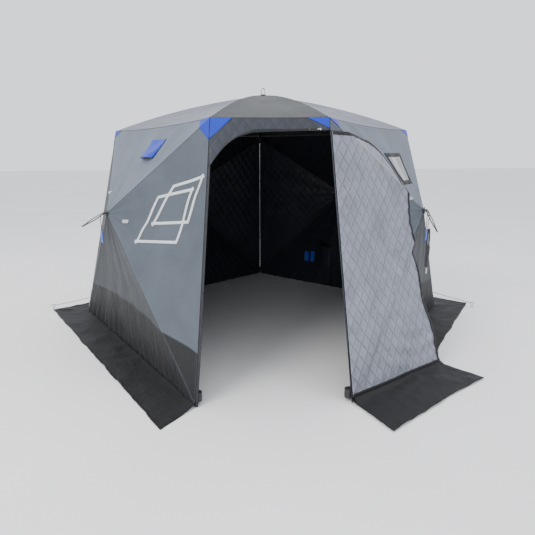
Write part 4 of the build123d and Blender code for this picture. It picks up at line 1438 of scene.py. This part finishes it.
def vent_hood():
    """A stiffened blue hood over the vent, open along its lower edge, over a dark mesh."""
    side = sides["left_front"]
    corners = [Vector(on_top_panel(side, *corner)) for corner in HOOD]
    mesh_corners = [mix(corners[0], corners[3], 0.35), mix(corners[1], corners[2], 0.35), corners[2],
        corners[3]]
    dark = wall_patch("vent_mesh", side, mesh_corners, cloths["mesh"], 0.0012, 0.001, 14, 10)
    sewn_on(dark, "left_front", slot="shell_fabric")

    def place(s, t):
        flat = mix(mix(corners[0], corners[1], s), mix(corners[3], corners[2], s), t)
        arch = (4 * s * (1 - s)) ** 0.5
        return side.skin(flat.x, flat.y, 0.004 + 0.045 * t ** 1.2 * arch)

    hood = sheet_piece("vent_hood_cloth", place, 30, 18, cloths["blue"], 0.0025, (0.25, 0.17))
    sewn_on(hood, "left_front", slot="accent_fabric", replaced=("vent_hood",))


vent_hood()

PRINT_WIDTH = 0.020


def slanted_prints():
    """A plain printed pattern of slanted outlines on the panel beside the doorway."""
    side = sides["left_front"]
    bars = [(0.36, 0.84, -0.17, 0.23), (0.50, 0.92, -0.02, 0.32)]
    for number, (left, right, low, high) in enumerate(bars):
        slant = 0.17
        ring = [Vector((left, low)), Vector((right - slant * 0.3, low + 0.06)),
            Vector((right + slant * 0.2, high + 0.05)),
                Vector((left + slant, high - 0.04))]
        for k in range(4):
            a, b = ring[k], ring[(k + 1) % 4]
            run = (b - a).normalized()
            across = Vector((-run.y, run.x)) * PRINT_WIDTH
            quad = [a, b, b + across, a + across]
            if any(side.facet(p.x, p.y) is None for p in quad):
                continue
            piece = wall_patch(f"print_{number}_{k}", side, quad, cloths["print"], 0.0016, 0.0006, 22, 3)
            sewn_on(piece, "left_front", slot="shell_fabric")


slanted_prints()

# --- cords, straps and handles -----------------------------------------------------------------------

CORD_RADIUS = 0.0025
GUY_SHARE = 0.08
EYE_RADIUS = 0.013


def guy_line(name, corner, eye, replaced):
    """A cord from the corner's foot to its ice anchor, with a slight sag."""
    foot = mix(base[corner], eave[corner], GUY_SHARE)
    spoke = Vector((base[corner].x, base[corner].y, 0)).normalized()
    top = foot + spoke * 0.014
    end = eye + (top - eye).normalized() * (EYE_RADIUS + 0.005)
    route = [top, mix(top, end, 0.35) - UP * 0.003, mix(top, end, 0.7) - UP * 0.003, end]
    cord = tube(name, route, CORD_RADIUS, cord_finish)
    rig.ride(cord, "shell")
    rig.replaces(cord, replaced)
    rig.slot(cord, "cord")
    return cord, route


cord_finish = webbing_material("braided_cord", (0.030, 0.031, 0.036))
LEFT_EYE = Vector((-2.218, 0.334, 0.044))
RIGHT_EYE = Vector((2.207, 0.176, 0.044))
for corner, eye in (("left", LEFT_EYE), ("right", RIGHT_EYE)):
    name = f"guy_line_{corner}"
    cord, route = guy_line(name + "_cord", corner, eye, name)
    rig.cord(cord, exit=route[0], length=curve_length(route), diameter=2 * CORD_RADIUS, far_end="knot",
        stiffness="limp",
            lay="taut", path=route, with_pieces=["ice_anchors"])
    knot = tube(name + "_knot", [route[-1]
        + Vector((0.006 * cos(k * 1.9), 0.005 * sin(k * 2.3), 0.0016 * (k % 4))) for k in range(14)],
                CORD_RADIUS * 0.9, cord_finish)
    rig.ride(knot, "shell")
    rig.slot(knot, "cord")


def pull_cord(side, replaced):
    """The pull under a hub cap: a short cord that ends in a blue webbing tab."""
    body = f"hub_{side.name}"
    top = side.peak + side.w * 0.040 - side.u * 0.040 - UP * 0.030
    low = top - UP * 0.120
    route = [top, mix(top, low, 0.4) + side.w * 0.003, mix(top, low, 0.75) + side.w * 0.001, low]
    cord = tube(replaced + "_cord", route, CORD_RADIUS, cord_finish)
    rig.ride(cord, body)
    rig.replaces(cord, replaced)
    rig.slot(cord, "cord")
    middle = low - UP * 0.045

    def place(s, t):
        bow = 0.004 * sin(pi * t)
        return middle + side.u * ((s - 0.5) * 0.046) + UP * ((0.5 - t) * 0.088) + side.w * bow

    tab = sheet_piece(replaced + "_tab", place, 12, 18, webbing_blue, 0.005, (0.046, 0.088))
    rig.ride(tab, body)
    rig.slot(tab, "cord")
    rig.cord(cord, exit=top, length=curve_length(route), diameter=2 * CORD_RADIUS, far_end="object",
        stiffness="limp",
            lay="hanging", path=route, with_pieces=[replaced + "_tab"])


pull_cord(sides["left_front"], "pull_cord_left")
pull_cord(sides["right_front"], "pull_cord_right")


def rope_hank():
    """Spare cord hanked under the right hub, wrapped round its middle, with a pale toggle at its end."""
    side = sides["right_front"]
    hang = side.peak + side.w * 0.048 + side.u * 0.022
    route = [side.peak + side.w * 0.012 + side.u * 0.022, side.peak + side.w * 0.030 + side.u * 0.023,
        hang - UP * 0.04]
    turns = 4
    top_z, low_z = -0.155, -0.465
    for turn in range(turns):
        x = mix(-0.020, 0.020, turn / (turns - 1))
        depth = 0.0065 * (1 if turn % 2 else -1)
        left, right = x - 0.008, x + 0.008
        route += [hang + side.u * left + side.w * depth + UP
            * z for z in (top_z - 0.02, (top_z + low_z) / 2, low_z + 0.02)]
        route += [hang + side.u * x + side.w * depth + UP * (low_z - 0.010)]
        route += [hang + side.u * right + side.w * depth + UP
            * z for z in (low_z + 0.02, (top_z + low_z) / 2, top_z - 0.02)]
        if turn < turns - 1:
            route += [hang + side.u * (right + 0.003) + side.w * 0 + UP * (top_z + 0.006)]
    route += [hang + side.u * 0.024 + UP * (top_z + 0.004), hang + side.w * 0.016 + UP * (top_z - 0.10)]
    for wrap in range(10):
        angle = wrap * pi / 2
        route.append(hang + side.u * (0.036 * cos(angle)) + side.w * (0.018 * sin(angle)) + UP
            * (top_z - 0.12 - wrap * 0.0022))
    route += [hang + side.u * 0.012 + side.w * 0.014 + UP * (top_z - 0.20), hang + side.w * 0.008 + UP
        * -0.44, hang + UP * -0.482]
    cord = tube("hank_cord", route, CORD_RADIUS, cord_finish)
    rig.ride(cord, "hub_right_front")
    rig.replaces(cord, "rope_hank")
    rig.slot(cord, "cord")
    points, cloth = [], []
    rings, around = 22, 20
    for j in range(rings):
        t = j / (rings - 1)
        radius = 0.009 * (0.72 + 0.28 * sin(pi * t) ** 0.5) * (0.35 if j in (0, rings - 1) else 1)
        for i in range(around):
            angle = 2 * pi * i / around
            centre = hang - UP * (0.476 + 0.052 * t)
            points.append(centre + side.u * radius * cos(angle) + side.w * radius * sin(angle))
            cloth.append((radius * angle, 0.052 * t))
    toggle = make_mesh("hank_toggle", points, grid_faces(around, rings, closed=True), [pale_plastic],
        uvs={"cloth": cloth})
    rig.ride(toggle, "hub_right_front")
    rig.slot(toggle, "cord")
    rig.cord(cord, exit=route[0], length=curve_length(route), diameter=2 * CORD_RADIUS, far_end="object",
        stiffness="limp",
            lay="coiled", with_pieces=["hank_toggle"])


pale_plastic = moulded_material("plastic_pale", (0.50, 0.51, 0.52), roughness=0.35)
rope_hank()

HANDLE_WIDTH = 0.028
HANDLE_LENGTH = 0.200


def hub_handle(side):
    """A folded webbing loop on the pin of a hub's outer cap."""
    joint = next(j for j in frame["joints"] if j["name"] == f"handle_{side.name}_swing")
    pivot = Vector(joint["pos_m"])
    low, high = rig.box(f"handle_{side.name}")
    middle = (low + high) / 2
    droop = (middle - pivot).normalized()
    normal = side.u.cross(droop).normalized()
    path = []
    for k in range(15):
        angle = pi * k / 14
        path.append(pivot - droop * (0.0045 * sin(angle)) + normal * (0.0045 * cos(angle)))
    steps = 22
    for k in range(1, steps + 1):
        t = k / steps
        spread = 0.0045 + 0.006 * sin(pi * t) ** 2
        path.append(pivot + droop * (HANDLE_LENGTH - 0.012) * t - normal * spread * (1 - 0.55 * t))
    for k in range(1, 8):
        angle = pi * k / 8
        path.append(pivot + droop * (HANDLE_LENGTH - 0.012 + 0.008 * sin(angle)) - normal * 0.0020
            * cos(angle))
    for k in range(steps, 0, -1):
        t = k / steps
        spread = 0.0045 + 0.006 * sin(pi * t) ** 2
        path.append(pivot + droop * (HANDLE_LENGTH - 0.012) * t + normal * spread * (1 - 0.55 * t))
    loop = strap(f"handle_loop_{side.name}", path, side.u, HANDLE_WIDTH, 0.0018, webbing, closed=True)
    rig.ride(loop, f"handle_{side.name}")
    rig.replaces(loop, f"handle_{side.name}")
    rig.slot(loop, "webbing")


for side in sides.values():
    hub_handle(side)


def corner_strap(name, side, corner, material, replaced):
    """A webbing tie sewn to the foot of a corner edge, lying on the wall's cloth."""
    at_start = side.start == corner
    foot = side.corners[0] if at_start else side.corners[1]
    head = side.corners[3] if at_start else side.corners[2]
    inward = Vector((1, 0)) if at_start else Vector((-1, 0))
    a = mix(foot, head, 0.03) + inward * 0.006
    b = mix(foot, head, 0.13) + inward * 0.006
    piece = wall_patch(name, side, [a, a + inward * 0.038, b + inward * 0.038, b], material, 0.0024,
        0.0022, 6, 22)
    sewn_on(piece, side.name, slot="accent_fabric", replaced=replaced)


corner_strap("strap_right", sides["right_front"], "right", webbing_blue, ("corner_straps",))
corner_strap("strap_left", sides["left_front"], "left", webbing_pale, ())

TAG = (0.062, 0.026)


def hub_tags():
    """Small plain tags sewn beside the hubs."""
    for name, x, y in (("left_front", 0.19, -0.05), ("left_front", -0.23, 0.14),
            ("right_front", 0.15, -0.03), ("right_front", -0.17, 0.10)):
        side = sides[name]
        quad = [(x, y), (x + TAG[0], y + 0.008), (x + TAG[0], y + 0.008 + TAG[1]), (x, y + TAG[1])]
        piece = wall_patch(f"tag_{name}_{'a' if x > 0 else 'b'}", side, quad, cloths["tag"], 0.0016,
            0.0012, 9, 5)
        sewn_on(piece, name, slot="shell_fabric")


hub_tags()

POCKETS = [(0.168, 0.360, 0.165, 0.250, 0.026), (0.168, 0.512, 0.170, 0.050, 0.009),
    (0.439, 0.340, 0.060, 0.120, 0.005),
           (0.352, 0.345, 0.055, 0.130, 0.005)]


def inside_pockets():
    """A mesh pocket with a bound top and two blue tabs on the inside of the back wall."""
    side = sides["right_back"]
    rise = side.corners[0].y
    leg = Vector((side.corners[0].y, BULGE)).length

    def at(u, up, depth):
        y = rise * (1 - up / leg)
        near = (side.facet(u, y) or (BOTTOM, 0.5, 0.1))[2]
        w = BULGE * near - 0.030
        return side.at(u, y, w - depth)

    for number, (u, up, width, height, depth) in enumerate(POCKETS):

        def place(s, t, u=u, up=up, width=width, height=height, depth=depth):
            puff = depth * (4 * s * (1 - s)) ** 0.5 * (0.35 + 0.65 * sin(pi * min(1, t + 0.2)))
            return at(u + (s - 0.5) * width, up + (t - 0.5) * height, puff)

        material = (cloths["mesh"], cloths["binding"], webbing_blue, webbing_blue)[number]
        piece = sheet_piece(f"pocket_{number}", place, 20, 20, material, 0.0025, (width, height))
        replaced = ("storage_pocket",) if number == 0 else ()
        sewn_on(piece, "right_back", slot="pocket_fabric", replaced=replaced)


inside_pockets()

# --- finishes on the CAD model's own pieces ----------------------------------------------------------

FINISHES = {
    "hub_": hub_plastic,
    "cap_": cap_plastic,
    "rod_": rod_finish,
    "upper_fittings": fitting_plastic,
    "foot_fittings": fitting_plastic,
    "ice_anchors": steel,
    "zip_track": zip_finish,
    "zip_slider": steel,
    "zip_pull": webbing,
}


def dress_cad():
    for piece in bpy.data.objects:
        if piece.type != "MESH":
            continue
        for prefix, material in FINISHES.items():
            if piece.name.startswith(prefix) and piece.name in frame["nodes"]:
                piece.data.materials.clear()
                piece.data.materials.append(material)
                break


dress_cad()

# --- floor, light and surroundings -------------------------------------------------------------------


def floor_material():
    kit = Nodes("studio_floor")
    place = kit.place()
    large = kit.noise(place, 0.6, 3.0, 0.5)
    shade = kit.blend(kit.range(large, 0.3, 0.7), (0.80, 0.80, 0.80, 1), (0.84, 0.84, 0.84, 1))
    kit.put(kit.shader.inputs["Base Color"], shade)
    kit.shader.inputs["Roughness"].default_value = 0.85
    kit.shader.inputs["Specular IOR Level"].default_value = 0.1
    return kit.material


def floor():
    size = 60
    points = [Vector((x, y, 0)) for x, y in ((-size, -size), (size, -size), (size, size), (-size, size))]
    sheet = make_mesh("studio_floor", points, [(0, 1, 2, 3)], [floor_material()])
    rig.stage(sheet)


floor()


def area_light(name, place, target, size, power, colour=(1, 1, 1)):
    light = bpy.data.lights.new(name, "AREA")
    light.shape = "DISK"
    light.size = size
    light.energy = power
    light.color = colour
    lamp = bpy.data.objects.new(name, light)
    bpy.context.scene.collection.objects.link(lamp)
    lamp.location = place
    lamp.rotation_euler = (Vector(target) - Vector(place)).to_track_quat("-Z", "Y").to_euler()
    return lamp


area_light("key", (-5.5, -6.0, 6.5), (0, 0, 0.9), 5.0, 520, (1.0, 0.985, 0.97))
area_light("fill", (6.5, -5.5, 4.0), (0, 0, 1.0), 5.0, 130, (0.96, 0.98, 1.0))
area_light("top", (0, 1.0, 7.5), (0, 0, 1.0), 6.0, 160)
area_light("front", (-0.5, -7.5, 2.2), (0, 0, 1.2), 3.5, 90)


def sky():
    world = bpy.data.worlds.new("studio")
    bpy.context.scene.world = world
    world.use_nodes = True
    back = world.node_tree.nodes["Background"]
    back.inputs["Color"].default_value = (0.93, 0.95, 1.0, 1)
    back.inputs["Strength"].default_value = 1.5


sky()

with open("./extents.json", "w") as file:
    json.dump({"cad": [list(corner) for corner in cad_box],
        "visual": [list(corner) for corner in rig.bounds()]}, file)
